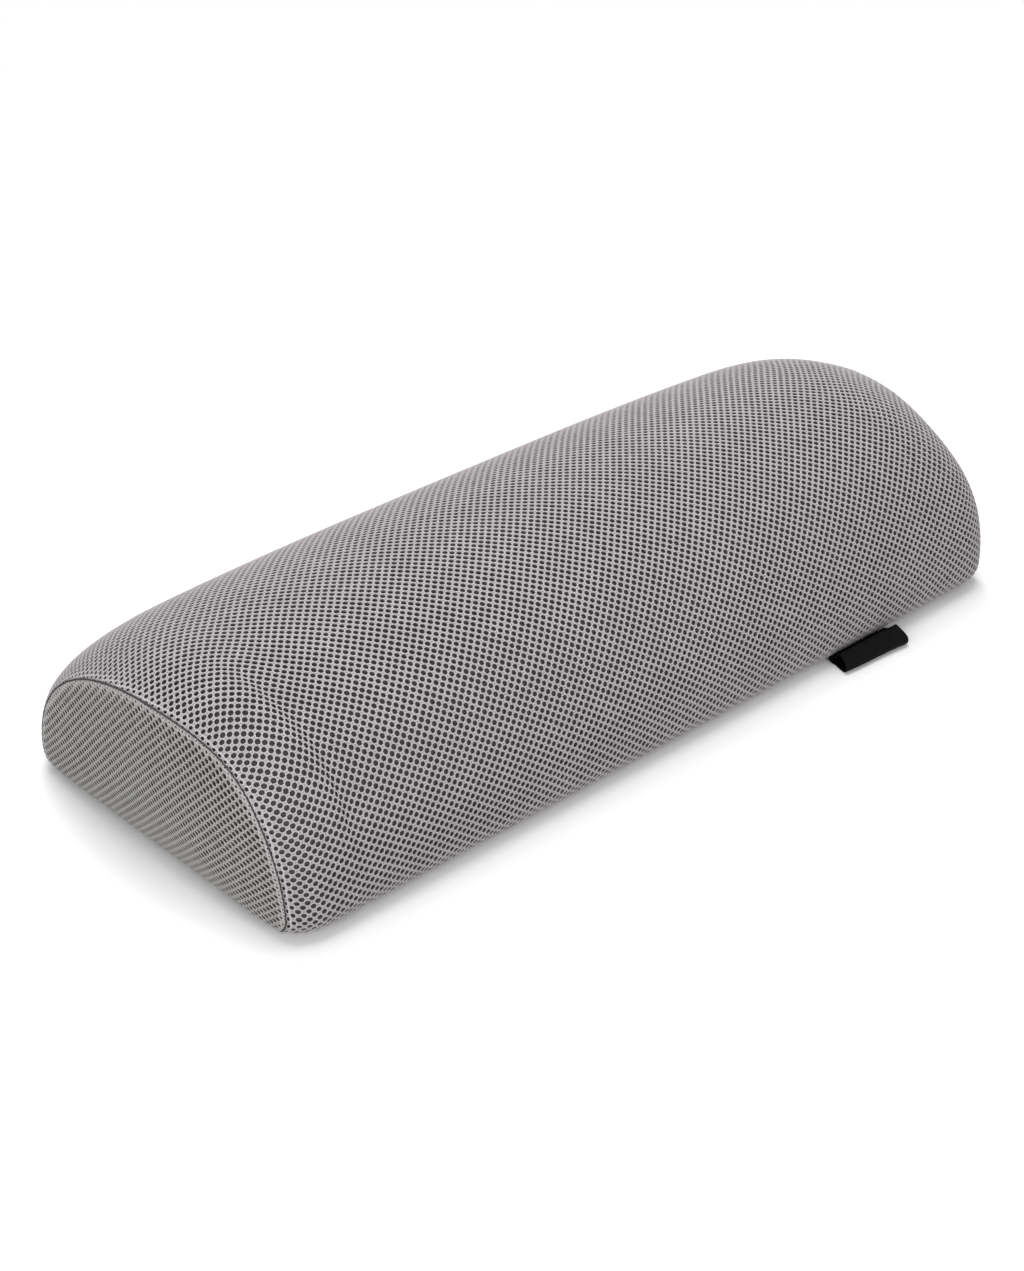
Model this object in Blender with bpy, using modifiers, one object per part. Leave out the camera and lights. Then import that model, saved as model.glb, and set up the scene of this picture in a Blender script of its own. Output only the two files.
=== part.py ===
# Half moon pillow: a moulded foam core in a thin knit liner, inside a zipped cover of air mesh.
# Metres, +X along the pillow, +Z up. The origin is the middle of the flat base.

import functools
import math

import bmesh
import bpy
import numpy as np
from mathutils import Matrix, Vector

# Outer shape of the dressed pillow
SEAM_SPAN = 0.5062  # between the two end seams, low on the long sides
WIDTH = 0.2204
HEIGHT = 0.1089
CORNER_RUN = 0.0174  # the long bottom corners, across and up
CORNER_RISE = 0.0138
CROWN_POWER = 2.24  # superellipse exponent of the crown
REAR_END_POWER = 1.81  # the rear shoulder is softer towards the ends
END_NARROWING = 0.0213  # width lost at an end, within the last stretch
NARROWING_REACH = 0.0295
NARROWING_POWER = 4.0
END_DROP = 0.0168  # height lost at an end
DROP_REACH = 0.0734
DROP_POWER = 3.43
END_DOME = 0.0069  # how far an end panel swells past its seam
END_TUCK = 0.0077  # radius of the end panel's bottom edge
CROWN_LEAN = 0.0077  # the end seam leans outwards at the top
SHOULDER_DIP = 0.006  # and is drawn in at the front shoulder
SHOULDER_ANGLE = math.radians(57)
SHOULDER_SPREAD = math.radians(26)
DOME_HEIGHT = 0.039  # height of the middle of an end panel

# Walls and clearances
FIT_GAP = 0.0003
LAYER_GAP = 0.0004  # between cover, liner and foam
SEAM_GAP = 0.0006
COVER_THICKNESS = 0.004
HEM_THICKNESS = 0.0016  # the mesh pressed flat beside the zip
HEM_ROWS = (0.009, 0.012, 0.014)  # from the zip's centre line, the last is the hem's edge
HEM_EASE = 0.002
LINER_THICKNESS = 0.0008
FRONT_SEAM_ANGLE = math.radians(40)  # place of the front base seam on the corner

# Zip in the rear side
ZIP_HEIGHT = 0.022
ZIP_MARGIN = 0.0481  # from an end seam to the end of the slit
ZIP_SLOT = 0.012
ZIP_SLOT_EASE = 0.010
TAPE_THICKNESS = 0.0006
TAPE_INNER_EDGE = 0.0020  # from the zip's centre line
TOOTH_PITCH = 0.004
TOOTH_WIDTH = 0.0015
TOOTH_THICKNESS = 0.001
TOOTH_REACH = 0.0017  # past the centre line
SPINE_INNER = 0.0021
SPINE_OUTER = 0.0033
STOP_LENGTH = 0.002
STOP_HEIGHT = 0.002
END_STOP_LENGTH = 0.004
CHAIN_MARGIN = 0.005  # from the slot's end to the first tooth

# Slider and its pull
SLIDER_LENGTH = 0.011
SLIDER_REAR_HALF = 0.0044
SLIDER_FRONT_HALF = 0.0054
SLIDER_INNER_HALF = 0.0036  # the plate behind the tapes is narrower
SLIDER_PLATE = 0.001
SLIDER_WALL = 0.0007
SLIDER_CLEARANCE = 0.0008
WEDGE_LENGTH = 0.0045
WEDGE_WIDTH = 0.0034
ARCH_SPAN = 0.0044
ARCH_RISE = 0.0029
ARCH_WIRE = 0.0011
PIVOT_RISE = 0.0013
PULL_BAR = 0.0013
PULL_LENGTH = 0.024
PULL_WIDTH = 0.006
PULL_THICKNESS = 0.001
PULL_WINDOW = 0.0038
PULL_ARM = 0.0011

# Loop label of folded ribbon in the front base seam
LABEL_MARGIN = 0.1104  # from the right end seam to the label's middle
LABEL_WIDTH = 0.046
LABEL_THICKNESS = 0.0007
LABEL_REACH = 0.0135  # how far the fold stands out from the side
LABEL_HEIGHT = 0.0092

# Fineness of the faceted solids
CROWN_STEPS = 17
LENGTH_STEPS = 8
LENGTH_CROWDING = 1.6  # 1 would space the stations evenly
END_RINGS = (1.0, 0.93, 0.84, 0.62, 0.33, 0.0)
PROBE = 0.0002  # distance used to measure the skin's slope

HALF_SPAN = SEAM_SPAN / 2
ZIP_HALF = HALF_SPAN - ZIP_MARGIN
LABEL_CENTRE = HALF_SPAN - LABEL_MARGIN


def smooth_step_in(reach, stretch, power):
    """0 up to the last stretch before an end seam, then rising to 1."""
    inside = max(0.0, (reach - (HALF_SPAN - stretch)) / stretch)
    return inside**power


def tuck(height):
    """How far the bottom edge of an end is rounded inwards at a height."""
    left = np.clip(1 - height / END_TUCK, 0, 1)
    return END_TUCK * (1 - np.sqrt(1 - left * left))


@functools.lru_cache(maxsize=None)
def section(reach):
    """The D outline at a distance from the middle, once round from the rear side over the crown.

    Returns its length so far, y, z and crown angle, and the lengths at which its landmarks lie.
    """
    half = (WIDTH - END_NARROWING * smooth_step_in(reach, NARROWING_REACH, NARROWING_POWER)) / 2
    top = HEIGHT - END_DROP * smooth_step_in(reach, DROP_REACH, DROP_POWER)
    softening = (reach / HALF_SPAN) ** 3
    rear_power = CROWN_POWER + (REAR_END_POWER - CROWN_POWER) * softening
    angle = np.linspace(math.pi, 0, 721)
    power = 2 / np.where(angle > math.pi / 2, rear_power, CROWN_POWER)
    crown_y = -half * np.sign(np.cos(angle)) * np.abs(np.cos(angle)) ** power
    crown_z = CORNER_RISE + (top - CORNER_RISE) * np.abs(np.sin(angle)) ** power
    turn = np.linspace(math.pi / 2, 0, 61)
    flat = half - CORNER_RUN
    front_y = -(flat + CORNER_RUN * np.sin(turn))
    corner_z = CORNER_RISE * (1 - np.cos(turn))
    y = np.concatenate([crown_y, front_y[1:], -front_y[::-1]])
    z = np.concatenate([crown_z, corner_z[1:], corner_z[::-1]])
    past_front = turn - math.pi / 2
    crown_angle = np.concatenate([angle, past_front[1:], np.full(61, past_front[-1])])
    run = np.concatenate([[0], np.cumsum(np.hypot(np.diff(y), np.diff(z)))])
    zip_line = float(np.interp(ZIP_HEIGHT, crown_z[:200], run[:200]))
    seam_z = CORNER_RISE * (1 - math.cos(FRONT_SEAM_ANGLE))
    seam = float(np.interp(-seam_z, -z[721:781], run[721:781]))
    marks = {"zip": zip_line, "seam": seam, "front": float(run[780]), "rear": float(run[781])}
    return run, y, z, crown_angle, top, marks


def skin_point(share, girth):
    """A point of the outer skin. share runs from -1 to 1 along the pillow, girth is a length."""
    reach = round(abs(share) * HALF_SPAN, 9)
    run, ys, zs, angles, top, marks = section(reach)
    around = (girth + marks["zip"]) % run[-1]
    y, z = np.interp(around, run, ys), np.interp(around, run, zs)
    angle = np.interp(around, run, angles)
    lean = CROWN_LEAN * (z / top) ** 2
    dip = SHOULDER_DIP * math.exp(-(((angle - SHOULDER_ANGLE) / SHOULDER_SPREAD) ** 2))
    x = reach + (lean - dip - tuck(z)) * abs(share) ** 6
    return Vector((math.copysign(x, share), y, z))


def across(first, second, outside):
    """The unit normal of two tangents that points to the outside."""
    normal = first.cross(second).normalized()
    return normal if normal.dot(outside) > 0 else -normal


def skin_normal(share, girth):
    step = PROBE / HALF_SPAN
    ahead, behind = min(1.0, share + step), max(-1.0, share - step)
    along = skin_point(ahead, girth) - skin_point(behind, girth)
    around = skin_point(share, girth + PROBE) - skin_point(share, girth - PROBE)
    here = skin_point(share, girth)
    return across(along, around, Vector((0, here.y, here.z - CORNER_RISE)))


def end_point(side, girth, ring):
    """A point of an end panel: ring 1 is its seam and ring 0 its middle."""
    rim = skin_point(side, girth)
    middle = Vector((0, 0, DOME_HEIGHT))
    place = middle + (rim - middle) * ring
    seam_x = abs(rim.x) + tuck(rim.z)
    dome_x = (HALF_SPAN + END_DOME) * (1 - ring * ring) + seam_x * ring * ring
    place.x = side * (dome_x - tuck(place.z))
    return place


def end_normal(side, girth, ring):
    if ring == 0:
        return Vector((side, 0, 0))
    inward = end_point(side, girth, ring) - end_point(side, girth, ring - 0.01)
    around = end_point(side, girth + PROBE, ring) - end_point(side, girth - PROBE, ring)
    return across(inward, around, Vector((side, 0, 0)))


def mitre(share, girth):
    """The direction that runs in between wall and end panel, one unit deep in each."""
    side = math.copysign(1, share)
    wall, end = skin_normal(side, girth), end_normal(side, girth, 1.0)
    return (wall + end) / (1 + wall.dot(end))


def wall_place(share, girth, depth, gap=0.0):
    """A point under the crown or base, a depth below the skin, half a gap back from an end seam."""
    place = skin_point(share, girth)
    if abs(share) < 1:
        return place - depth * skin_normal(share, girth)
    outward = place - skin_point(share * (1 - PROBE / HALF_SPAN), girth)
    slant = mitre(share, girth)
    return place - gap / 2 * slant.length * outward.normalized() - depth * slant


def end_place(side, girth, ring, depth, gap=0.0):
    """The same under an end panel."""
    place = end_point(side, girth, ring)
    if ring < 1:
        return place - depth * end_normal(side, girth, ring)
    outward = place - end_point(side, girth, 0.99)
    slant = mitre(side, girth)
    return place - gap / 2 * slant.length * outward.normalized() - depth * slant


def length_stations():
    """Shares of the half length, closer together towards the ends, with the zip's ends among them."""
    slot_ends = [ZIP_HALF / HALF_SPAN, (ZIP_HALF + ZIP_SLOT_EASE) / HALF_SPAN]
    steps = [1 - (1 - k / LENGTH_STEPS) ** LENGTH_CROWDING for k in range(LENGTH_STEPS)]
    kept = [s for s in steps if min(abs(s - mark) for mark in slot_ends) > 0.03]
    half = sorted(kept + slot_ends) + [1.0]
    return [-s for s in half[:0:-1]] + half


def slot_half(share):
    """Half the width of the slit that holds the zip, which closes to a seam past the zip's ends."""
    past = (abs(share) * HALF_SPAN - ZIP_HALF) / ZIP_SLOT_EASE
    closing = min(1.0, max(0.0, past))
    return ZIP_SLOT / 2 * (1 - closing) + SEAM_GAP / 2 * closing


def crown_girths(share):
    """Girths of the crown panel's rows, from the zip over the top to the front seam."""
    marks = section(round(abs(share) * HALF_SPAN, 9))[5]
    seam = marks["seam"] - marks["zip"] - SEAM_GAP / 2
    first = HEM_ROWS[-1] + HEM_EASE
    return [slot_half(share), *HEM_ROWS] + list(np.linspace(first, seam, CROWN_STEPS + 1))


def base_girths(share):
    """Girths of the base panel's rows, from the front seam under the pillow up to the zip."""
    run, _, _, _, _, marks = section(round(abs(share) * HALF_SPAN, 9))
    seam = marks["seam"] - marks["zip"] + SEAM_GAP / 2
    front, rear = marks["front"] - marks["zip"], marks["rear"] - marks["zip"]
    hem = [run[-1] - row for row in HEM_ROWS[::-1]]
    ease = hem[0] - HEM_EASE
    flat = list(np.linspace(front, rear, 4))
    turn = [(rear + ease) / 2, ease]
    return [seam, (front + seam) / 2] + flat + turn + hem + [run[-1] - slot_half(share)]


def loop_girths(share):
    """Every row once round, as an end panel meets them."""
    crown, base = crown_girths(share), base_girths(share)
    return [0.0] + crown[:-1] + [(crown[-1] + base[0]) / 2] + base[1:]


def lining_girths(share):
    """Once round with fewer rows beside the zip, for the pieces inside the cover."""
    rows = loop_girths(share)
    return rows[:2] + rows[3:4] + rows[5:-4] + rows[-3:-2] + rows[-1:]


def collection_of(name, shown=True):
    made = bpy.data.collections.new(name)
    made.hide_render = not shown
    bpy.context.scene.collection.children.link(made)
    return made


def material(name, colour, roughness, metallic=0.0):
    made = bpy.data.materials.new(name)
    made.use_nodes = True
    shader = made.node_tree.nodes["Principled BSDF"]
    shader.inputs["Base Color"].default_value = (*colour, 1)
    shader.inputs["Roughness"].default_value = roughness
    shader.inputs["Metallic"].default_value = metallic
    return made


def add_object(name, mesh, finish):
    made = bpy.data.objects.new(name, mesh)
    mesh.materials.append(finish)
    mesh.shade_smooth()
    mesh.set_sharp_from_angle(angle=math.radians(40))
    pillow.objects.link(made)
    return made


def add_rows(form, rows, around):
    """Faces between successive rows of points. A row of one point is a pole."""
    loops = [[form.verts.new(point) for point in row] for row in rows]
    for low, high in zip(loops, loops[1:]):
        count = max(len(low), len(high))
        for j in range(count if around else count - 1):
            k = (j + 1) % count
            corners = [low[j % len(low)], low[k % len(low)], high[k % len(high)], high[j % len(high)]]
            form.faces.new(list(dict.fromkeys(corners)))
    return loops


def join_rims(form, first, second, around):
    count = len(first)
    for j in range(count if around else count - 1):
        k = (j + 1) % count
        form.faces.new([first[j], first[k], second[k], second[j]])


def shell_mesh(name, outer, inner, around, pole=False):
    """A sheet with thickness, from the lofts of its two faces and the rims between them."""
    form = bmesh.new()
    out, inn = add_rows(form, outer, around), add_rows(form, inner, around)
    join_rims(form, out[0], inn[0], around)
    if not pole:
        join_rims(form, out[-1], inn[-1], around)
    if not around:
        join_rims(form, [row[0] for row in out], [row[0] for row in inn], False)
        join_rims(form, [row[-1] for row in out], [row[-1] for row in inn], False)
    bmesh.ops.recalc_face_normals(form, faces=form.faces)
    mesh = bpy.data.meshes.new(name)
    form.to_mesh(mesh)
    form.free()
    return mesh


def wall_grid(girths, depth, gap):
    """Rows of points under the wall. depth is a length, or a function of share and row."""
    rows = []
    for share in length_stations():
        row = []
        for index, girth in enumerate(girths(share)):
            inset = depth(share, index) if callable(depth) else depth
            row.append(wall_place(share, girth, inset, gap))
        rows.append(row)
    return rows


def panel_depth(hem_rows):
    """The cover's wall, which is pressed flat in the rows beside the zip."""
    reach = (ZIP_HALF + ZIP_SLOT_EASE + PROBE) / HALF_SPAN
    return lambda share, row: (
        HEM_THICKNESS if abs(share) < reach and row in hem_rows else COVER_THICKNESS
    )


def wall_panel(name, girths, hem_rows, finish):
    outer = wall_grid(girths, 0, SEAM_GAP)
    inner = wall_grid(girths, panel_depth(hem_rows), SEAM_GAP)
    return add_object(name, shell_mesh(name, outer, inner, False), finish)


def end_rings(side, girths, depth, gap):
    rings = [[end_place(side, g, ring, depth, gap) for g in girths] for ring in END_RINGS[:-1]]
    return rings + [[end_place(side, 0.0, END_RINGS[-1], depth)]]


def end_panel(name, side, girths, depth, thickness, finish):
    outer = end_rings(side, girths, depth, SEAM_GAP)
    inner = end_rings(side, girths, depth + thickness, SEAM_GAP)
    return add_object(name, shell_mesh(name, outer, inner, True, pole=True), finish)


def liner_wrap(name, depth, thickness, finish):
    outer = wall_grid(lining_girths, depth, SEAM_GAP)
    inner = wall_grid(lining_girths, depth + thickness, SEAM_GAP)
    return add_object(name, shell_mesh(name, outer, inner, True), finish)


def foam_core(name, depth, finish):
    """One moulded block: its wall and both ends share the rings at the end seams."""
    walls = wall_grid(lining_girths, depth, 0)
    left = end_rings(-1, lining_girths(1.0), depth, 0)[1:]
    right = end_rings(1, lining_girths(1.0), depth, 0)[1:]
    form = bmesh.new()
    add_rows(form, left[::-1] + walls + right, True)
    bmesh.ops.recalc_face_normals(form, faces=form.faces)
    mesh = bpy.data.meshes.new(name)
    form.to_mesh(mesh)
    form.free()
    return add_object(name, mesh, finish)


def zip_frame():
    """Middle of the zip line, the way up along the skin there, and the way out of it."""
    out = skin_normal(0.0, 0.0)
    return skin_point(0.0, 0.0), Vector((1, 0, 0)).cross(out).normalized(), out


def in_zip(x, rise, depth):
    """A place by its distance along the zip, above its centre line and under the skin."""
    middle, up, out = zip_frame()
    return Vector((x, 0, 0)) + middle + rise * up - depth * out


def prism(outline, outer_depth, inner_depth):
    """A plate in the zip's plane, from an outline of (x, rise) pairs."""
    form = bmesh.new()
    ring = [form.verts.new(in_zip(x, rise, outer_depth)) for x, rise in outline]
    face = form.faces.new(ring)
    grown = bmesh.ops.extrude_face_region(form, geom=[face])
    moved = [item for item in grown["geom"] if isinstance(item, bmesh.types.BMVert)]
    bmesh.ops.translate(form, verts=moved, vec=(outer_depth - inner_depth) * zip_frame()[2])
    bmesh.ops.recalc_face_normals(form, faces=form.faces)
    mesh = bpy.data.meshes.new("plate")
    form.to_mesh(mesh)
    form.free()
    return mesh


def union(name, meshes, finish):
    """One body from overlapping shapes, by Boolean unions."""
    base = bpy.data.objects.new(name, meshes[0])
    cutters.objects.link(base)
    helpers = []
    for index, mesh in enumerate(meshes[1:]):
        helper = bpy.data.objects.new(f"{name}_form_{index}", mesh)
        helper.hide_render = True
        helper.display_type = "WIRE"
        cutters.objects.link(helper)
        joined = base.modifiers.new(f"join_{index}", "BOOLEAN")
        joined.operation = "UNION"
        joined.object = helper
        helpers.append(helper)
    bpy.context.view_layer.update()
    graph = bpy.context.evaluated_depsgraph_get()
    result = bpy.data.meshes.new_from_object(base.evaluated_get(graph))
    for helper in helpers + [base]:
        bpy.data.objects.remove(helper)
    result.name = name
    result.materials.clear()
    return add_object(name, result, finish)


def soften(obj, width, segments=1):
    rounded = obj.modifiers.new("edges", "BEVEL")
    rounded.width = width
    rounded.segments = segments
    rounded.limit_method = "ANGLE"
    rounded.angle_limit = math.radians(50)


def tube_mesh(name, points, radius):
    """A wire along points, as a mesh with welded caps."""
    path = bpy.data.curves.new(name, "CURVE")
    path.dimensions = "3D"
    path.bevel_depth = radius
    path.bevel_resolution = 2
    path.use_fill_caps = True
    line = path.splines.new("POLY")
    line.points.add(len(points) - 1)
    for spot, point in zip(line.points, points):
        spot.co = (*point, 1)
    wire = bpy.data.objects.new(name, path)
    cutters.objects.link(wire)
    bpy.context.view_layer.update()
    graph = bpy.context.evaluated_depsgraph_get()
    mesh = bpy.data.meshes.new_from_object(wire.evaluated_get(graph))
    bpy.data.objects.remove(wire)
    form = bmesh.new()
    form.from_mesh(mesh)
    bmesh.ops.remove_doubles(form, verts=form.verts, dist=1e-6)
    form.to_mesh(mesh)
    form.free()
    return mesh


def zip_tape(name, above):
    """A woven tape behind the hem, from beside the teeth to its sewn outer edge."""
    reach = (ZIP_HALF + ZIP_SLOT_EASE + PROBE) / HALF_SPAN
    stations = [s for s in length_stations() if abs(s) < reach]
    girths = [above * g for g in (TAPE_INNER_EDGE, ZIP_SLOT / 2, *HEM_ROWS[:-1])]
    front = HEM_THICKNESS + FIT_GAP
    back = front + TAPE_THICKNESS
    outer = [[wall_place(s, g, front) for g in girths] for s in stations]
    inner = [[wall_place(s, g, back) for g in girths] for s in stations]
    return add_object(name, shell_mesh(name, outer, inner, False), finishes["zip_tape"])


TEETH_BACK = HEM_THICKNESS
TEETH_FRONT = TEETH_BACK - TOOTH_THICKNESS
SLIDER_FRONT_X = ZIP_HALF - CHAIN_MARGIN - STOP_LENGTH
SLIDER_REAR_X = SLIDER_FRONT_X - SLIDER_LENGTH
WEDGE_REAR_X = SLIDER_FRONT_X - WEDGE_LENGTH
CHAIN_START_X = -ZIP_HALF + CHAIN_MARGIN + END_STOP_LENGTH
PLATE_BACK = TEETH_FRONT - FIT_GAP  # the slider's outer plate lies over the teeth
PLATE_FRONT = PLATE_BACK - SLIDER_PLATE
INNER_PLATE_FRONT = HEM_THICKNESS + FIT_GAP + TAPE_THICKNESS + SLIDER_CLEARANCE
INNER_PLATE_BACK = INNER_PLATE_FRONT + SLIDER_WALL
SLIDER_MIDDLE_X = SLIDER_REAR_X + SLIDER_LENGTH / 2
PIVOT_DEPTH = PLATE_FRONT - PIVOT_RISE


def tooth_row(name, above, lead):
    """One comb of the chain: a spine with teeth that reach between those of the other row."""
    start, end = CHAIN_START_X, WEDGE_REAR_X - FIT_GAP
    count = int((end - start) / TOOTH_PITCH)
    outline = [(start, above * SPINE_OUTER), (start, above * SPINE_INNER)]
    for k in range(count):
        left = start + TOOTH_PITCH * (k + lead)
        right = left + TOOTH_WIDTH
        tip, root = -above * TOOTH_REACH, above * SPINE_INNER
        outline += [(left, root), (left, tip), (right, tip), (right, root)]
    stop = start + TOOTH_PITCH * count
    outline += [(stop, above * SPINE_INNER), (stop, above * SPINE_OUTER)]
    outline = list(dict.fromkeys(outline))
    return add_object(name, prism(outline, TEETH_FRONT, TEETH_BACK), finishes["zip_teeth"])


def box_outline(low_x, high_x, low, high):
    return [(low_x, low), (high_x, low), (high_x, high), (low_x, high)]


def zip_stop(name, low_x, high_x, low, high):
    outline = box_outline(low_x, high_x, low, high)
    made = add_object(name, prism(outline, TEETH_FRONT, TEETH_BACK), finishes["zip_metal"])
    soften(made, 0.0002)
    return made


def slider_body(name):
    rear, front = SLIDER_REAR_HALF, SLIDER_FRONT_HALF
    outline = [
        (SLIDER_REAR_X, -rear),
        (SLIDER_MIDDLE_X, -rear),
        (SLIDER_FRONT_X - SLIDER_WALL, -front),
        (SLIDER_FRONT_X, -front + SLIDER_WALL),
        (SLIDER_FRONT_X, front - SLIDER_WALL),
        (SLIDER_FRONT_X - SLIDER_WALL, front),
        (SLIDER_MIDDLE_X, rear),
        (SLIDER_REAR_X, rear),
    ]
    sink = SLIDER_PLATE / 2
    parts = [prism(outline, PLATE_FRONT, PLATE_BACK)]
    inside = box_outline(SLIDER_REAR_X, SLIDER_FRONT_X, -SLIDER_INNER_HALF, SLIDER_INNER_HALF)
    parts.append(prism(inside, INNER_PLATE_FRONT, INNER_PLATE_BACK))
    for above in (-1, 1):
        lip = [
            (SLIDER_REAR_X, above * rear),
            (SLIDER_MIDDLE_X, above * rear),
            (SLIDER_FRONT_X - SLIDER_WALL, above * front),
            (SLIDER_FRONT_X - SLIDER_WALL, above * (front - SLIDER_WALL)),
            (SLIDER_MIDDLE_X, above * (rear - SLIDER_WALL)),
            (SLIDER_REAR_X, above * (rear - SLIDER_WALL)),
        ]
        parts.append(prism(lip, PLATE_FRONT + sink, TEETH_BACK))
    wedge = [
        (WEDGE_REAR_X, 0),
        (SLIDER_FRONT_X - SLIDER_WALL * 2, -WEDGE_WIDTH / 2),
        (SLIDER_FRONT_X - SLIDER_WALL, 0),
        (SLIDER_FRONT_X - SLIDER_WALL * 2, WEDGE_WIDTH / 2),
    ]
    parts.append(prism(wedge, PLATE_FRONT + sink, INNER_PLATE_BACK - SLIDER_WALL / 2))
    arch = []
    for k in range(9):
        turn = math.pi * k / 8
        x = SLIDER_MIDDLE_X - ARCH_SPAN / 2 * math.cos(turn)
        height = (ARCH_RISE + sink) * math.sin(turn) ** 0.6
        arch.append(in_zip(x, 0, PLATE_FRONT + sink - height))
    parts.append(tube_mesh("arch", arch, ARCH_WIRE / 2))
    return union(name, parts, finishes["zip_metal"])


def pull_tab(name):
    """A forked flat tongue, whose bar turns under the slider's arch."""
    half, arm = PULL_WIDTH / 2, PULL_ARM
    fork = half - arm
    outer, inner = PIVOT_DEPTH - PULL_THICKNESS / 2, PIVOT_DEPTH + PULL_THICKNESS / 2
    pivot = SLIDER_MIDDLE_X
    neck, end = pivot - PULL_WINDOW, pivot - PULL_LENGTH
    corner = end + half / 2
    side = [(corner, half), (pivot, half), (pivot, fork), (neck, fork)]
    outline = [(end, half / 2)] + side
    outline += [(x, -rise) for x, rise in outline[::-1]]
    reach = half - arm / 4
    bar = [in_zip(pivot, -reach, PIVOT_DEPTH), in_zip(pivot, reach, PIVOT_DEPTH)]
    parts = [prism(outline, outer, inner), tube_mesh("bar", bar, PULL_BAR / 2)]
    return union(name, parts, finishes["zip_metal"])


def loop_label(name):
    """A ribbon folded back on itself. Its plies leave the seam together and open into a loop."""
    run, ys, zs, _, _, marks = section(round(LABEL_CENTRE, 9))
    root = skin_point(LABEL_CENTRE / HALF_SPAN, marks["seam"] - marks["zip"])
    normal = skin_normal(LABEL_CENTRE / HALF_SPAN, marks["seam"] - marks["zip"])
    start = root + normal * (FIT_GAP + LABEL_THICKNESS * 1.5)
    side = -WIDTH / 2
    low = LABEL_THICKNESS / 2 + FIT_GAP / 2
    high = LABEL_HEIGHT
    lift = LABEL_THICKNESS / 2 + FIT_GAP * 2
    fold = side - LABEL_REACH
    outline = [
        (start.y + 0.0006, start.z - 0.0002),
        (start.y - 0.0006, start.z - 0.0011),
        (start.y - 0.0026, low),
        (side - 0.002, low),
        (fold + 0.004, low),
        (fold + 0.0006, low + 0.0012),
        (fold, low + 0.0034),
        (fold + 0.0022, low + 0.0062),
        (side - 0.0055, high - 0.0008),
        (side - 0.0018 - lift, high),
        (side + 0.0005 - lift, high - 0.0028),
        (start.y - 0.0022, start.z + 0.0013),
        (start.y + 0.0002, start.z + 0.0010),
    ]
    curve = bpy.data.curves.new(name, "CURVE")
    curve.dimensions = "2D"
    curve.fill_mode = "NONE"
    curve.extrude = LABEL_WIDTH / 2
    curve.resolution_u = 3
    ring = curve.splines.new("NURBS")
    ring.points.add(len(outline) - 1)
    for spot, (y, z) in zip(ring.points, outline):
        spot.co = (y, z, 0, 1)
    ring.use_cyclic_u = True
    ring.order_u = 3
    curve.materials.append(finishes["ribbon"])
    made = bpy.data.objects.new(name, curve)
    axes = Matrix(((0, 0, 1), (1, 0, 0), (0, 1, 0)))
    made.matrix_world = Matrix.Translation((LABEL_CENTRE, 0, 0)) @ axes.to_4x4()
    weld = made.modifiers.new("weld", "WELD")
    weld.merge_threshold = 0.00001
    ply = made.modifiers.new("ply", "SOLIDIFY")
    ply.thickness = LABEL_THICKNESS
    ply.offset = 0
    pillow.objects.link(made)
    return made


for old in list(bpy.data.objects):
    bpy.data.objects.remove(old)
pillow = collection_of("half_moon_pillow")
cutters = collection_of("cutters", shown=False)
finishes = {
    "air_mesh": material("air_mesh", (0.42, 0.41, 0.41), 0.85),
    "liner_knit": material("liner_knit", (0.80, 0.80, 0.78), 0.9),
    "foam": material("foam", (0.88, 0.84, 0.72), 0.95),
    "ribbon": material("ribbon", (0.012, 0.012, 0.014), 0.7),
    "zip_tape": material("zip_tape", (0.20, 0.20, 0.20), 0.85),
    "zip_teeth": material("zip_teeth", (0.16, 0.16, 0.165), 0.4),
    "zip_metal": material("zip_metal", (0.30, 0.30, 0.31), 0.35, 1.0),
}

liner_depth = COVER_THICKNESS + LAYER_GAP
foam_depth = liner_depth + LINER_THICKNESS + LAYER_GAP
base_rows = len(base_girths(0.0))
hem_count = len(HEM_ROWS) + 1

foam_core("foam_core", foam_depth, finishes["foam"])
liner_wrap("liner_wrap", liner_depth, LINER_THICKNESS, finishes["liner_knit"])
for end_name, side in (("left", -1), ("right", 1)):
    lining, knit = lining_girths(1.0), finishes["liner_knit"]
    end_panel(f"liner_end_{end_name}", side, lining, liner_depth, LINER_THICKNESS, knit)
    cover, mesh_cloth = loop_girths(1.0), finishes["air_mesh"]
    end_panel(f"cover_end_{end_name}", side, cover, 0.0, COVER_THICKNESS, mesh_cloth)
wall_panel("cover_crown", crown_girths, range(hem_count), finishes["air_mesh"])
wall_panel("cover_base", base_girths, range(base_rows - hem_count, base_rows), finishes["air_mesh"])

zip_tape("zip_tape_upper", 1)
zip_tape("zip_tape_lower", -1)
tooth_row("zip_teeth_upper", 1, 0.1)
tooth_row("zip_teeth_lower", -1, 0.6)
stop_near, stop_far = SLIDER_FRONT_X + FIT_GAP, SLIDER_FRONT_X + FIT_GAP + STOP_LENGTH
zip_stop("zip_top_stop_upper", stop_near, stop_far, SPINE_INNER, SPINE_INNER + STOP_HEIGHT)
zip_stop("zip_top_stop_lower", stop_near, stop_far, -SPINE_INNER - STOP_HEIGHT, -SPINE_INNER)
end_stop_high = CHAIN_START_X - FIT_GAP
end_stop_low = end_stop_high - END_STOP_LENGTH
zip_stop("zip_end_stop", end_stop_low, end_stop_high, -SPINE_OUTER, SPINE_OUTER)
slider_body("zip_slider_body")
pull_tab("zip_pull_tab")
loop_label("loop_label")
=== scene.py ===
"""A half moon pillow on a white floor: foam core, knit liner and a zipped cover of grey air mesh."""

import functools
import math

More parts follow.
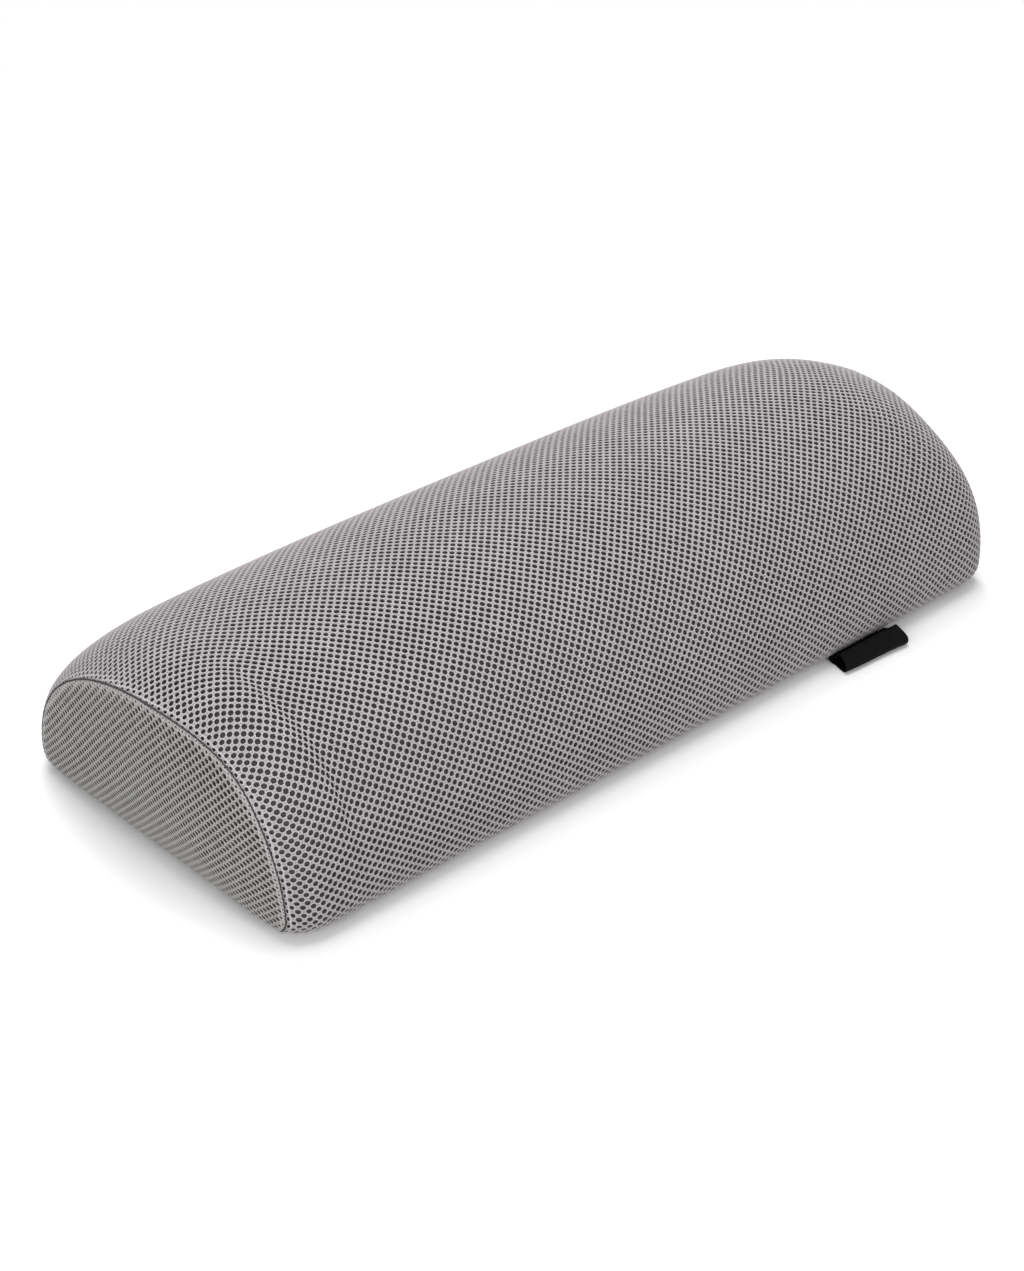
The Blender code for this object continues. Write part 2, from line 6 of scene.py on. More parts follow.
import bmesh
import bpy
import numpy as np
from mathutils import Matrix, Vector


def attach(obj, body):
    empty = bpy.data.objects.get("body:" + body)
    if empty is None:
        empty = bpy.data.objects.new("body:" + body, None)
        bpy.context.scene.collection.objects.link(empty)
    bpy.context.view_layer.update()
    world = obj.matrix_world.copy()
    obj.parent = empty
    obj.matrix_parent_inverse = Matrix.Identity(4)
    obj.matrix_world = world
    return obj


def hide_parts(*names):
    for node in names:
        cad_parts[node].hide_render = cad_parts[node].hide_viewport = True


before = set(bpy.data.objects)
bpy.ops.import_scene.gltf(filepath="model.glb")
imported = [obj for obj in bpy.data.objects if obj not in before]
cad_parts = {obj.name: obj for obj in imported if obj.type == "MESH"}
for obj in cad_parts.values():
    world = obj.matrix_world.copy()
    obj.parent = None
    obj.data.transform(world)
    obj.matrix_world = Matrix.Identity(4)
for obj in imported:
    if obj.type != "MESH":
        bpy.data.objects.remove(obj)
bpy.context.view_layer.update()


# The camera looks down on the near end and on the long side that carries the ribbon loop.
# It stands 1.37 m away with a long lens, so the pillow's long edges run nearly parallel.
def placed(name, data):
    """A new object in the scene."""
    thing = bpy.data.objects.new(name, data)
    bpy.context.scene.collection.objects.link(thing)
    return thing


def turned_to(place, aim):
    """The rotation of a camera or lamp that looks from its place at its aim."""
    return (Vector(aim) - Vector(place)).to_track_quat("-Z", "Y").to_euler()


camera = placed("camera", bpy.data.cameras.new("camera"))
camera.location = (-0.80828, -0.85555, 0.73211)
camera.rotation_euler = turned_to(camera.location, (-0.01247, 0.00767, 0.02113))
camera.data.sensor_fit = "VERTICAL"
camera.data.sensor_height = 36
camera.data.lens = 71.95
bpy.context.scene.camera = camera
bpy.context.scene.view_settings.view_transform = "Standard"


# The floor is a white sheet under a white sky, lit by a wide soft lamp overhead and three others.
# The camera sees sky and open floor as pure white, and the floor keeps the pillow's soft shadow.
class Strand:
    """One output in a node tree. Arithmetic on it adds the Math nodes."""

    def __init__(self, recipe, socket):
        self.recipe, self.socket = recipe, socket

    def math(self, operation, *others):
        terms = dict(enumerate((self, *others)))
        return self.recipe.add("ShaderNodeMath", terms, operation=operation)

    __add__ = __radd__ = functools.partialmethod(math, "ADD")
    __sub__ = functools.partialmethod(math, "SUBTRACT")
    __mul__ = __rmul__ = functools.partialmethod(math, "MULTIPLY")
    __truediv__ = functools.partialmethod(math, "DIVIDE")

    def __rsub__(self, other):
        return self.recipe.add("ShaderNodeMath", {0: other, 1: self}, operation="SUBTRACT")

    def wave(self):
        """Sine, brought to 0..1."""
        return self.math("SINE") * 0.5 + 0.5

    def held(self):
        """Kept within 0..1."""
        return self.math("MAXIMUM", 0.0).math("MINIMUM", 1.0)

    def vector(self, operation, values=None, output=0):
        values = {0: self, **(values or {})}
        return self.recipe.add("ShaderNodeVectorMath", values, output, operation=operation)

    def plus(self, other):
        """Vector sum."""
        return self.vector("ADD", {1: other})

    def times(self, share):
        """Vector scaled by a number."""
        return self.vector("SCALE", {"Scale": share})

    def spread(self, factors, shift=(0, 0, 0)):
        """Vector multiplied and shifted, axis by axis."""
        return self.vector("MULTIPLY_ADD", {1: factors, 2: shift})

    def axis(self, name):
        return self.recipe.add("ShaderNodeSeparateXYZ", {0: self}, name)

    def then(self, step, values=None, **settings):
        """The geometry after one more Geometry Nodes step."""
        values = {"Geometry": self, **(values or {})}
        return self.recipe.add(f"GeometryNode{step}", values, **settings)

    def moved(self, **values):
        """The geometry after Set Position."""
        return self.then("SetPosition", values)

    def keeping(self, label, value, kind="FLOAT_VECTOR"):
        """The geometry with a value stored at its points."""
        values = {"Name": label, "Value": value}
        return self.then("StoreNamedAttribute", values, data_type=kind, domain="POINT")

    def laid_out(self, thing, **values):
        """An object's form at every point of this geometry, realized."""
        form = self.recipe.add("GeometryNodeObjectInfo", {"Object": thing}, "Geometry")
        values = {"Points": self, "Instance": form, **values}
        laid = self.recipe.add("GeometryNodeInstanceOnPoints", values)
        return laid.then("RealizeInstances")

    def hand_out(self, material):
        """The last nodes of a tree: smooth shading, the material and the way out."""
        made = self.then("SetShadeSmooth").then("SetMaterial", {"Material": material})
        self.recipe.add("NodeGroupOutput", {0: made})


class Recipe:
    """A node tree that is written down node by node."""

    def __init__(self, tree):
        self.tree = tree

    def pick(self, sockets, name):
        if isinstance(name, int):
            return sockets[name]
        return next(s for s in sockets if s.name == name and s.enabled)

    def add(self, kind, values=None, output=0, **settings):
        """Adds a node: its settings first, then the values or links of its inputs."""
        node = self.tree.nodes.new(kind)
        for name, value in settings.items():
            setattr(node, name, value)
        for name, value in (values or {}).items():
            socket = self.pick(node.inputs, name)
            if isinstance(value, Strand):
                self.tree.links.new(value.socket, socket)
            else:
                socket.default_value = value
        return Strand(self, self.pick(node.outputs, output)) if len(node.outputs) else node

    def several(self, kind, outputs, values=None, **settings):
        """Several outputs of one node."""
        node = self.add(kind, values, outputs[0], **settings).socket.node
        return [Strand(self, self.pick(node.outputs, name)) for name in outputs]

    def blend(self, share, first, second):
        """Two colours mixed."""
        values = {"Factor": share, "A": first, "B": second}
        return self.add("ShaderNodeMix", values, "Result", data_type="RGBA")

    def noise(self, place, scale, detail=2.0):
        values = {"Vector": place, "Scale": scale, "Detail": detail}
        return self.add("ShaderNodeTexNoise", values)

    def kept(self, label, kind="FLOAT_VECTOR"):
        """A value stored at the points of the geometry."""
        return self.add("GeometryNodeInputNamedAttribute", {"Name": label}, data_type=kind)

    def surface(self, colour, roughness, relief=None, **more):
        """The surface of a material. relief is a height, its strength and its distance."""
        values = {"Base Color": colour, "Roughness": roughness}
        values |= {name.replace("_", " "): value for name, value in more.items()}
        if relief:
            height, strength, distance = relief
            bumps = {"Strength": strength, "Distance": distance, "Height": height}
            values["Normal"] = self.add("ShaderNodeBump", bumps)
        shader = self.add("ShaderNodeBsdfPrincipled", values)
        self.add("ShaderNodeOutputMaterial", {"Surface": shader})


def new_finish(name):
    """A material, its recipe, and the places on its object."""
    finish = bpy.data.materials.new(name)
    finish.use_nodes = True
    finish.node_tree.nodes.clear()
    recipe = Recipe(finish.node_tree)
    return finish, recipe, recipe.add("ShaderNodeTexCoord", None, "Object")


def grey(level, warmth=0.0):
    """A colour from its linear level, a little redder or bluer."""
    return (level * (1 + warmth), level, level * (1 - warmth), 1)


def seen_directly(recipe):
    """1 for the camera's rays, also by way of gloss or glass, and 0 for all others."""
    kinds = ("Is Camera Ray", "Is Glossy Ray", "Is Transmission Ray")
    seen = recipe.several("ShaderNodeLightPath", kinds)
    return (seen[0] + seen[1] + seen[2]).held()


floor_half, floor_drop = 6.0, 0.0002
open_from, open_band = 0.6, 0.5  # past the shadow the camera sees plain white
corners = [(-1, -1), (1, -1), (1, 1), (-1, 1)]
corners = [(x * floor_half, y * floor_half, -floor_drop) for x, y in corners]
floor_mesh = bpy.data.meshes.new("floor")
floor_mesh.from_pydata(corners, [], [range(4)])
floor_finish, room, place = new_finish("white_floor")
paper = room.add("ShaderNodeBsdfDiffuse", {"Color": grey(0.66)})
bright = room.add("ShaderNodeBsdfDiffuse", {"Color": grey(1.22)})
white = room.add("ShaderNodeEmission", {"Color": grey(1.0), "Strength": 1.0})
open_floor = ((place.vector("LENGTH", output="Value") - open_from) / open_band).held()
lit = room.add("ShaderNodeMixShader", {"Fac": open_floor, 1: bright, 2: white})
surface = room.add("ShaderNodeMixShader", {"Fac": seen_directly(room), 1: paper, 2: lit})
room.add("ShaderNodeOutputMaterial", {"Surface": surface})
floor_mesh.materials.append(floor_finish)
floor = placed("floor", floor_mesh)

sky = bpy.data.worlds.new("sky")
sky.use_nodes = True
sky.node_tree.nodes.clear()
air = Recipe(sky.node_tree)
ambient = air.add("ShaderNodeBackground", {"Color": grey(1.0), "Strength": 0.34})
white = air.add("ShaderNodeBackground", {"Color": grey(1.0), "Strength": 1.0})
surface = air.add("ShaderNodeMixShader", {"Fac": seen_directly(air), 1: ambient, 2: white})
air.add("ShaderNodeOutputWorld", {"Surface": surface})
bpy.context.scene.world = sky

lamps = [
    ("overhead_lamp", (0, 0, 2.6), 1.2, 20),
    ("rear_lamp", (0.6, 1.3, 2.2), 1.6, 22),
    ("end_lamp", (-2.2, -0.9, 1.0), 1.4, 15.5),
    ("front_lamp", (-0.6, -2.3, 1.0), 1.4, 15.5),
]
for name, place, size, power in lamps:
    lamp = placed(name, bpy.data.lights.new(name, "AREA"))
    lamp.data.shape, lamp.data.size, lamp.data.energy = "DISK", size, power
    lamp.location, lamp.rotation_euler = place, turned_to(place, (0, 0, 0))


# The foam core is one moulded block of open-cell foam, half an ellipse across, with rounded ends.
# It is pale yellow, carries the pillow's shape and lies loose in the liner.
seam_span, width, height = 0.5062, 0.2204, 0.1089
corner_run, corner_rise = 0.0174, 0.0138
crown_power, rear_end_power, rear_change = 2.24, 1.81, 3
end_narrowing, narrowing_reach, narrowing_power = 0.0213, 0.0295, 4.0
end_drop, drop_reach, drop_power = 0.0168, 0.0734, 3.43
end_dome, end_tuck, dome_height = 0.0069, 0.0077, 0.039
crown_lean, shoulder_dip, lean_power = 0.0077, 0.006, 6
shoulder_angle, shoulder_spread = math.radians(57), math.radians(26)
front_seam_angle = math.radians(40)
zip_height = 0.022
half_span = seam_span / 2
probe, ring_probe = 0.0002, 0.01  # steps that measure the skin's slope
crown_steps, corner_steps = 720, 60
rear_rise = slice(0, 200)  # the part of the outline that climbs past the zip
front_corner = slice(crown_steps + 1, crown_steps + corner_steps + 1)
foam_depth, foam_fill = 0.0056, (0.9, 0.78, 0.62, 0.42, 0.2)
block_stations, block_columns, block_crowding, block_end = 43, 96, 1.3, 0.008


def gaps(points, axis=0):
    """Distances from each point to the next."""
    return np.linalg.norm(np.diff(points, axis=axis), axis=-1)


def summed(steps, axis=0):
    """Sums of the steps so far, starting at 0."""
    start = np.zeros_like(steps.take([0], axis))
    return np.concatenate([start, np.cumsum(steps, axis=axis)], axis=axis)


def hump(place, middle, width, power=2):
    """1 at the middle, falling to 0 on both sides of it."""
    return np.exp(-(np.abs((place - middle) / width) ** power))


def last_stretch(reach, stretch, power):
    """0 up to the last stretch before an end seam, then rising to 1."""
    return max(0.0, (reach - (half_span - stretch)) / stretch) ** power


def tuck(z):
    """How far the bottom edge of an end is rounded inwards at a height."""
    left = np.clip(1 - z / end_tuck, 0, 1)
    return end_tuck * (1 - np.sqrt(1 - left * left))


@functools.lru_cache(maxsize=None)
def outline_at(reach):
    """The D outline at a distance from the middle, once round from the rear side over the crown."""
    half = (width - end_narrowing * last_stretch(reach, narrowing_reach, narrowing_power)) / 2
    top = height - end_drop * last_stretch(reach, drop_reach, drop_power)
    rear_power = crown_power + (rear_end_power - crown_power) * (reach / half_span) ** rear_change
    angle = np.linspace(math.pi, 0, crown_steps + 1)
    power = 2 / np.where(angle > math.pi / 2, rear_power, crown_power)
    crown_y = -half * np.sign(np.cos(angle)) * np.abs(np.cos(angle)) ** power
    crown_z = corner_rise + (top - corner_rise) * np.abs(np.sin(angle)) ** power
    turn = np.linspace(math.pi / 2, 0, corner_steps + 1)
    front_y = -(half - corner_run + corner_run * np.sin(turn))
    corner_z = corner_rise * (1 - np.cos(turn))
    y = np.concatenate([crown_y, front_y[1:], -front_y[::-1]])
    z = np.concatenate([crown_z, corner_z[1:], corner_z[::-1]])
    past_front = turn - math.pi / 2
    under = np.full(corner_steps + 1, past_front[-1])
    angles = np.concatenate([angle, past_front[1:], under])
    run = summed(np.hypot(np.diff(y), np.diff(z)))
    zip_line = np.interp(zip_height, crown_z[rear_rise], run[rear_rise])
    seam_z = corner_rise * (1 - math.cos(front_seam_angle))
    marks = {
        "ridge": run[crown_steps // 2],
        "seam": np.interp(-seam_z, -z[front_corner], run[front_corner]),
        "front": run[front_corner.stop - 1],
        "rear": run[front_corner.stop],
    }
    marks = {name: float(place - zip_line) for name, place in marks.items()}
    marks["round"] = float(run[-1])
    return run, y, z, angles, top, float(zip_line), marks


def marks_at(share):
    """Lengths round the pillow from the zip, at which the ridge, seams and corners lie."""
    return outline_at(round(abs(share) * half_span, 9))[-1]


def skin(share, girths):
    """Points of the outer skin. share runs from -1 to 1 along the pillow."""
    reach = round(abs(share) * half_span, 9)
    run, ys, zs, angles, top, zip_line, _ = outline_at(reach)
    around = (np.asarray(girths) + zip_line) % run[-1]
    y, z, angle = (np.interp(around, run, column) for column in (ys, zs, angles))
    lean = crown_lean * (z / top) ** 2
    dip = shoulder_dip * hump(angle, shoulder_angle, shoulder_spread)
    x = reach + (lean - dip - tuck(z)) * abs(share) ** lean_power
    return np.stack([math.copysign(1, share) * x, y, z], axis=-1)


def unit(vectors):
    return vectors / np.linalg.norm(vectors, axis=-1, keepdims=True)


def skin_out(share, girths):
    """Directions out of the skin, and round it."""
    step = probe / half_span
    along = skin(min(1.0, share + step), girths) - skin(max(-1.0, share - step), girths)
    around = skin(share, girths + probe) - skin(share, girths - probe)
    out = unit(np.cross(around, along))
    from_axis = skin(share, girths) - [0, 0, corner_rise]
    facing = np.sign((out[:, 1:] * from_axis[:, 1:]).sum(axis=1, keepdims=True))
    return out * facing, unit(around)


def end_skin(side, girths, ring):
    """Points of an end panel: ring 1 is its seam and ring 0 its middle."""
    rim = skin(side, girths)
    ring = np.broadcast_to(np.asarray(ring, float), rim.shape[:-1])[..., None]
    place = np.array([0, 0, dome_height]) * (1 - ring) + rim * ring
    seam_x = np.abs(rim[..., :1]) + tuck(rim[..., 2:])
    dome_x = (half_span + end_dome) * (1 - ring * ring) + seam_x * ring * ring
    place[..., :1] = side * (dome_x - tuck(place[..., 2:]))
    return place


def end_out(side, girths, ring=1.0):
    """Directions out of an end panel."""
    outwards = end_skin(side, girths, ring) - end_skin(side, girths, ring - ring_probe)
    around = end_skin(side, girths + probe, ring) - end_skin(side, girths - probe, ring)
    return side * unit(np.cross(outwards, around))


def girths_round(share, count):
    """Evenly spaced lengths once round the pillow."""
    return np.linspace(0, marks_at(share)["round"], count, endpoint=False)


def grid_faces(rows, columns, closed=False):
    """Four corners for each face between rows of points, wound to face outwards."""
    i, j = np.meshgrid(np.arange(rows - 1), np.arange(columns - (not closed)), indexing="ij")
    i, j = i.ravel(), j.ravel()
    k = (j + 1) % columns
    corners = [i * columns + j, i * columns + k, (i + 1) * columns + k, (i + 1) * columns + j]
    return np.stack(corners, axis=1)


def field_of(data, name, size=3, kind=float):
    """One field of a mesh's points or corners, a row for each of them."""
    values = np.empty(len(data) * size, kind)
    data.foreach_get(name, values)
    return values.reshape(-1, size)


def add_layout(mesh, name, flat):
    """A flat layout of a mesh from the places of its points."""
    corner = field_of(mesh.loops, "vertex_index", 1, int)[:, 0]
    mesh.uv_layers.new(name=name).data.foreach_set("uv", flat[corner].ravel())


def new_mesh(name, points, faces, numbers=None, cloth=None, edges=()):
    """A mesh with numbers or directions kept at its points, and its flat cloth layout."""
    mesh = bpy.data.meshes.new(name)
    points = np.asarray(points, float).reshape(-1, 3)
    mesh.from_pydata(points.tolist(), list(edges), [list(face) for face in faces])
    for label, values in (numbers or {}).items():
        values = np.asarray(values, float)
        kind = "FLOAT_VECTOR" if values.ndim > 1 and values.shape[-1] == 3 else "FLOAT"
        stored = mesh.attributes.new(label, kind, "POINT")
        stored.data.foreach_set("vector" if kind == "FLOAT_VECTOR" else "value", values.ravel())
    if cloth is not None:
        add_layout(mesh, "cloth", np.asarray(cloth, float).reshape(-1, 2))
    mesh.shade_smooth()
    return mesh


def new_piece(name, mesh, finish, slot, *stands_for, body="pillow"):
    """A piece of the pillow, in its material, on the body that carries it."""
    piece = placed(name, mesh)
    mesh.materials.clear()
    mesh.materials.append(finish)
    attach(piece, body)
    if stands_for:
        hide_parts(*stands_for)
    return piece


def block_end_rings(side, depth):
    """Rings of an end of a block under the skin, from its edge to near its middle."""
    girths = girths_round(1, block_columns)
    wall, end = skin_out(side, girths)[0], end_out(side, girths)
    slant = (wall + end) / (1 + (wall * end).sum(axis=1, keepdims=True))
    rings = [end_skin(side, girths, 1.0) - depth * slant]
    for ring in foam_fill:
        rings.append(end_skin(side, girths, ring) - depth * end_out(side, girths, ring))
    return rings


def block_mesh(name, depth):
    """A closed block at a depth under the skin."""
    stations = np.linspace(-1, 1, block_stations)
    closer = 1 - (1 - np.abs(stations)) ** block_crowding
    rows = block_end_rings(-1, depth)[::-1]
    for share in np.sign(stations) * closer * (1 - block_end / half_span):
        girths = girths_round(share, block_columns)
        rows.append(skin(share, girths) - depth * skin_out(share, girths)[0])
    rows = np.array(rows + block_end_rings(1, depth))
    faces = [list(face) for face in grid_faces(len(rows), block_columns, closed=True)]
    points = rows.reshape(-1, 3)
    for row, turned in ((0, False), (len(rows) - 1, True)):
        points = np.vstack([points, rows[row].mean(axis=0)])
        for j in range(block_columns):
            edge = [row * block_columns + j, row * block_columns + (j + 1) % block_columns]
            faces.append([len(points) - 1] + (edge if turned else edge[::-1]))
    return new_mesh(name, points, faces)


foam_finish, foam, place = new_finish("moulded_foam")
cells = foam.add("ShaderNodeTexVoronoi", {"Vector": place, "Scale": 900.0}, "Distance")
tint = foam.blend(foam.noise(place, 14.0, 3.0), (0.80, 0.72, 0.50, 1), (0.86, 0.80, 0.62, 1))
foam.surface(tint, 0.95, (cells, 0.5, 0.0004))
foam_mesh = block_mesh("foam_block", foam_depth)
foam_core = new_piece("foam_block", foam_mesh, foam_finish, "foam", "foam_core")


# The liner is a close-fitting bag of thin white knit, sewn round the foam.
# It keeps the foam clean when the cover is off, and nothing fastens it to the cover.
liner_depth = 0.0045
liner_finish, knit, place = new_finish("white_knit")
loops = (place.axis("X") * 3900.0).wave() * (place.axis("Y") * 3100.0).wave()
shade = knit.blend(knit.noise(place, 60.0), grey(0.68), grey(0.78))
knit.surface(shade, 0.9, (loops, 0.4, 0.0003))
liner_nodes = ("liner_wrap", "liner_end_left", "liner_end_right")
liner_mesh = block_mesh("liner_bag", liner_depth)
liner = new_piece("liner_bag", liner_mesh, liner_finish, "liner_knit", *liner_nodes)


# The cover's four panels are cut from 4 mm thick grey air mesh: an open knit face with round holes,
# spacer threads and a closed inner face. Crown, base and two ends are sewn together inside out,
# so each edge rolls over into its seam. The sheets made here carry the knit face of each panel.
seam_gap, roll = 0.0004, 0.0006
seam_allowance = (0.0009, 0.0022)
hem_allowance = (0.0004, 0.0008)  # the hem ends on the zip's tape
seam_steps, hem_steps = 5, 4  # points over a rolled edge
end_rows = seam_steps + 1 + len(seam_allowance)  # rows of a panel in an end seam
side_rows = hem_steps + len(seam_allowance)  # and in a seam or hem along the pillow
crown_counts, base_counts = (46, 56), (8, 20, 20, 18)
zip_margin, zip_slot, slot_ease = 0.0481, 0.012, 0.010
zip_half = half_span - zip_margin
slot_end = zip_half + slot_ease
cloth_side = 0.6  # the flat layout is a square of this size
wall_steps, wall_crowding, wall_end, least_step = 52, 1.25, 0.004, 0.002
end_columns, end_rings, end_crowding, ray_steps, least_ring = 240, 30, 1.7, 300, 0.05
bunching = np.array([0.69, 0.72])  # the ribs of the end panels run this way


def slot_half(share):
    """Half the width of the slit for the zip, which closes to a seam past the zip's ends."""
    closing = min(1.0, max(0.0, (abs(share) * half_span - zip_half) / slot_ease))
    return zip_slot / 2 * (1 - closing) + seam_gap / 2 * closing


def rolled(seam, wall, onward, bend):
    """Points over the rolled edge of a panel and down into its seam, with their directions.

    wall is the direction out of the panel, onward the one to the seam, bend the angle to the
    neighbouring panel. The last points are the seam allowance, which lies along the mitre.
    """
    half = bend[:, None] / 2
    back = (roll * np.sin(half) + roll + seam_gap / 2) / np.cos(half)
    middle = seam - back * onward - roll * wall
    places, outs, lengths = [], [], []
    for step in range(seam_steps + 1):
        angle = step / seam_steps * (math.pi / 2 + half)
        out = wall * np.cos(angle) + onward * np.sin(angle)
        places.append(middle + roll * out)
        outs.append(out)
        lengths.append((roll * angle)[:, 0])
    inwards = -(wall * np.cos(half) + onward * np.sin(half))
    for depth in seam_allowance:
        places.append(middle + roll * outs[seam_steps] + depth * inwards)
        outs.append(outs[seam_steps])
        lengths.append(lengths[seam_steps] + depth)
    return np.array(places), np.array(outs), np.array(lengths), back[:, 0]


def edge_rows(edge, onward, depths):
    """Rows over a rolled edge in the girth: girth, angle of roll, depth past the roll, onward."""
    girth = edge - onward * roll
    turns = [(girth, k / hem_steps * math.pi / 2, 0.0, onward) for k in range(hem_steps + 1)]
    return turns + [(girth, math.pi / 2, depth, onward) for depth in depths]


def wall_rows(share, panel):
    """Every row of the crown or the base at one share, and the row in its middle."""
    marks = marks_at(share)
    if panel == "crown":
        first, last = slot_half(share), marks["seam"] - seam_gap / 2
        stops, counts = [first + roll, marks["ridge"], last - roll], crown_counts
        depths = (hem_allowance, seam_allowance)
    else:
        first, last = marks["seam"] + seam_gap / 2, marks["round"] - slot_half(share)
        middle = (marks["front"] + marks["rear"]) / 2
        stops = [first + roll, marks["front"], middle, marks["rear"], last - roll]
        counts = base_counts
        depths = (seam_allowance, hem_allowance)
    rows = edge_rows(first, -1, depths[0])[:0:-1]
    for low, high, count in zip(stops, stops[1:], counts):
        rows += [(girth, 0.0, 0.0, 0) for girth in np.linspace(low, high, count, endpoint=False)]
    rows += edge_rows(last, 1, depths[1])
    return np.array(rows), side_rows + sum(counts[: len(counts) // 2])


def within(place, high, high_fade, low, low_fade):
    """1 between two places, falling to 0 at them over the fades."""
    return np.clip((high - place) / high_fade, 0, 1) * np.clip((place - low) / low_fade, 0, 1)


def creased(u, v):
    """A faint fold across the crown near one end: its depth, and the cloth that it takes up."""
    fold_width, fold_take = 0.0024, 0.0015
    beside_line, beside_width, beside_take = -0.219, 0.017, 0.0025
    line = -0.2265 + 0.0125 * (1 - np.exp(np.minimum(0, v + 0.013) / 0.056))
    span = within(v, -0.010, 0.03, -0.150, 0.03)
    gathered = span * fold_take * (1 - np.tanh((u - line) / fold_width))
    beside = within(v, 0.035, 0.04, -0.125, 0.03)
    gathered += beside * beside_take * (1 - np.tanh((u - beside_line) / beside_width))
    return span * hump(u, line, fold_width), gathered


def ramp(place, start, end):
    """0 at the start and 1 from the end on."""
    return np.clip((place - start) / (end - start), 0, 1)


def pulled(u, v):
    """How far the rows of holes are pulled round where the cloth is eased into an end seam.

    down is the cloth's length below the ridge and reach the one from the pillow's middle.
    band is the pull beside the seam, behind the one further in, last the one at the seam.
    """
    down, reach = -v, np.abs(u)
    band = 0.0010 * ramp(down, 0.075, 0.100) - 0.0012 * ramp(down, 0.036, -0.016)
    band += 0.0012 * ramp(down, 0.142, 0.165) - 0.0034 * hump(down, 0.034, 0.032)
    behind = 0.00045 + 0.00065 * np.cos(2 * math.pi * ramp(down, 0.036, 0.144))
    last = 0.0023 * np.cos(1.3 * math.pi * ramp(down, 0.028, 0.174))
    band *= hump(reach, 0.231, 0.021, 3)
    behind *= hump(reach, 0.206, 0.018)
    last *= np.clip((reach - 0.232) / 0.024, 0, 1.2) ** 2
    return band + behind + last - 0.0027 * ramp(down, 0.108, 0.155)


def side_lengths(marks, panel):
    """Lengths of cloth from the ridge, or from the middle of the base, to the panel's two edges."""
    if panel == "crown":
        return marks["ridge"], marks["seam"] - marks["ridge"]
    middle = (marks["front"] + marks["rear"]) / 2
    return middle - marks["seam"], marks["round"] - middle


def wall_stations():
    """Shares along the pillow for the rows of points of crown and base, but for its two ends."""
    steps = 1 - (1 - np.arange(wall_steps + 1) / wall_steps) ** wall_crowding
    distances = [float(step) * (half_span - wall_end) for step in steps]
    ends_of_slot = [zip_half, zip_half + slot_ease / 2, slot_end]
    kept = [d for d in distances if min(abs(d - mark) for mark in ends_of_slot) > least_step]
    half = sorted(kept + ends_of_slot)
    return [-d / half_span for d in half[:0:-1]] + [d / half_span for d in half]


def wall_points(share, panel):
    """Rows of points of the crown or base at one share, directions out and nearness to a seam."""
    girths, angles, depths, onward = wall_rows(share, panel)[0].T
    normal, around = skin_out(share, girths)
    side = around * onward[:, None]
    lift = roll * (np.cos(angles) - 1)[:, None] - depths[:, None]
    shift = lift * normal + roll * np.sin(angles)[:, None] * side
    tilt = normal * np.cos(angles)[:, None] + side * np.sin(angles)[:, None]
    base = skin(share, girths)
    if abs(share) < 1:
        from_edge = np.minimum(girths - girths[0], girths[-1] - girths)
        from_end = np.full(len(girths), (1 - abs(share)) * half_span)
        return (base + shift)[None], tilt[None], np.minimum(from_edge, from_end)[None]
    onwards = share * np.cross(normal, around)
    bend = np.arccos(np.clip((normal * end_out(share, girths)).sum(axis=1), -1, 1))
    places, outs, _, _ = rolled(base, normal, onwards, bend)
    places, outs = places + shift, unit(outs + tilt - normal)
    order = slice(None, None, -1) if share < 0 else slice(None)
    return places[order], outs[order], np.zeros(places.shape[:2])


def flat_cloth(grid, shares, panel):
    """The flat layout of a panel: lengths along the cloth and round it, from its middle."""
    middle = wall_rows(0.0, panel)[1]
    v = summed(gaps(grid, 1), 1)
    v = v[:, middle : middle + 1] - v
    stations = np.r_[np.full(end_rows, -1.0), shares, np.full(end_rows, 1.0)]
    sides = np.array([side_lengths(marks_at(share), panel) for share in stations])
    ease = sides[len(sides) // 2] / sides  # a rectangle of cloth, eased on to the smaller ends
    ease = np.where(v > 0, ease[:, :1], ease[:, 1:])
    v = v * ease
    # the turned-in edges go straight down into the end seams
    v[:end_rows], v[-end_rows:] = v[end_rows], v[-end_rows - 1]
    round_steps = np.diff(v, axis=0) / ease[1:]
    steps_along = np.sqrt(np.maximum(gaps(grid) ** 2 - round_steps**2, 1e-12))
    u = summed(steps_along)
    return u - u[len(grid) // 2], v


def wall_sheet(panel):
    """Points, directions out, flat layout and nearness to a seam of the crown or the base."""
    shares = wall_stations()
    parts = zip(*(wall_points(share, panel) for share in [-1.0] + shares + [1.0]))
    grid, out, near = (np.concatenate(part) for part in parts)
    u, v = flat_cloth(grid, shares, panel)
    if panel == "crown":
        u, v = u - creased(u, v)[1], v + pulled(u, v)
    return grid, out, np.stack([u, v], axis=2), near


def bunched(cloth):
    """The layout of an end panel, whose cloth is bunched along its slanting ribs."""
    even, most, half_length, half_width, droop = 0.05, 0.023, 0.05, 0.055, 4
    middle_along, middle_across = -0.005, -0.018
    low = np.minimum(cloth[..., 1], 0)
    along, across = cloth @ bunching, cloth @ [-bunching[1], bunching[0]] - middle_across
    taken = most * np.tanh((along - middle_along) / half_length) * hump(across, 0, half_width)
    taken = even * along + taken
    cloth = cloth + taken[..., None] * bunching
    cloth[..., 1] -= droop * low * low
    return cloth


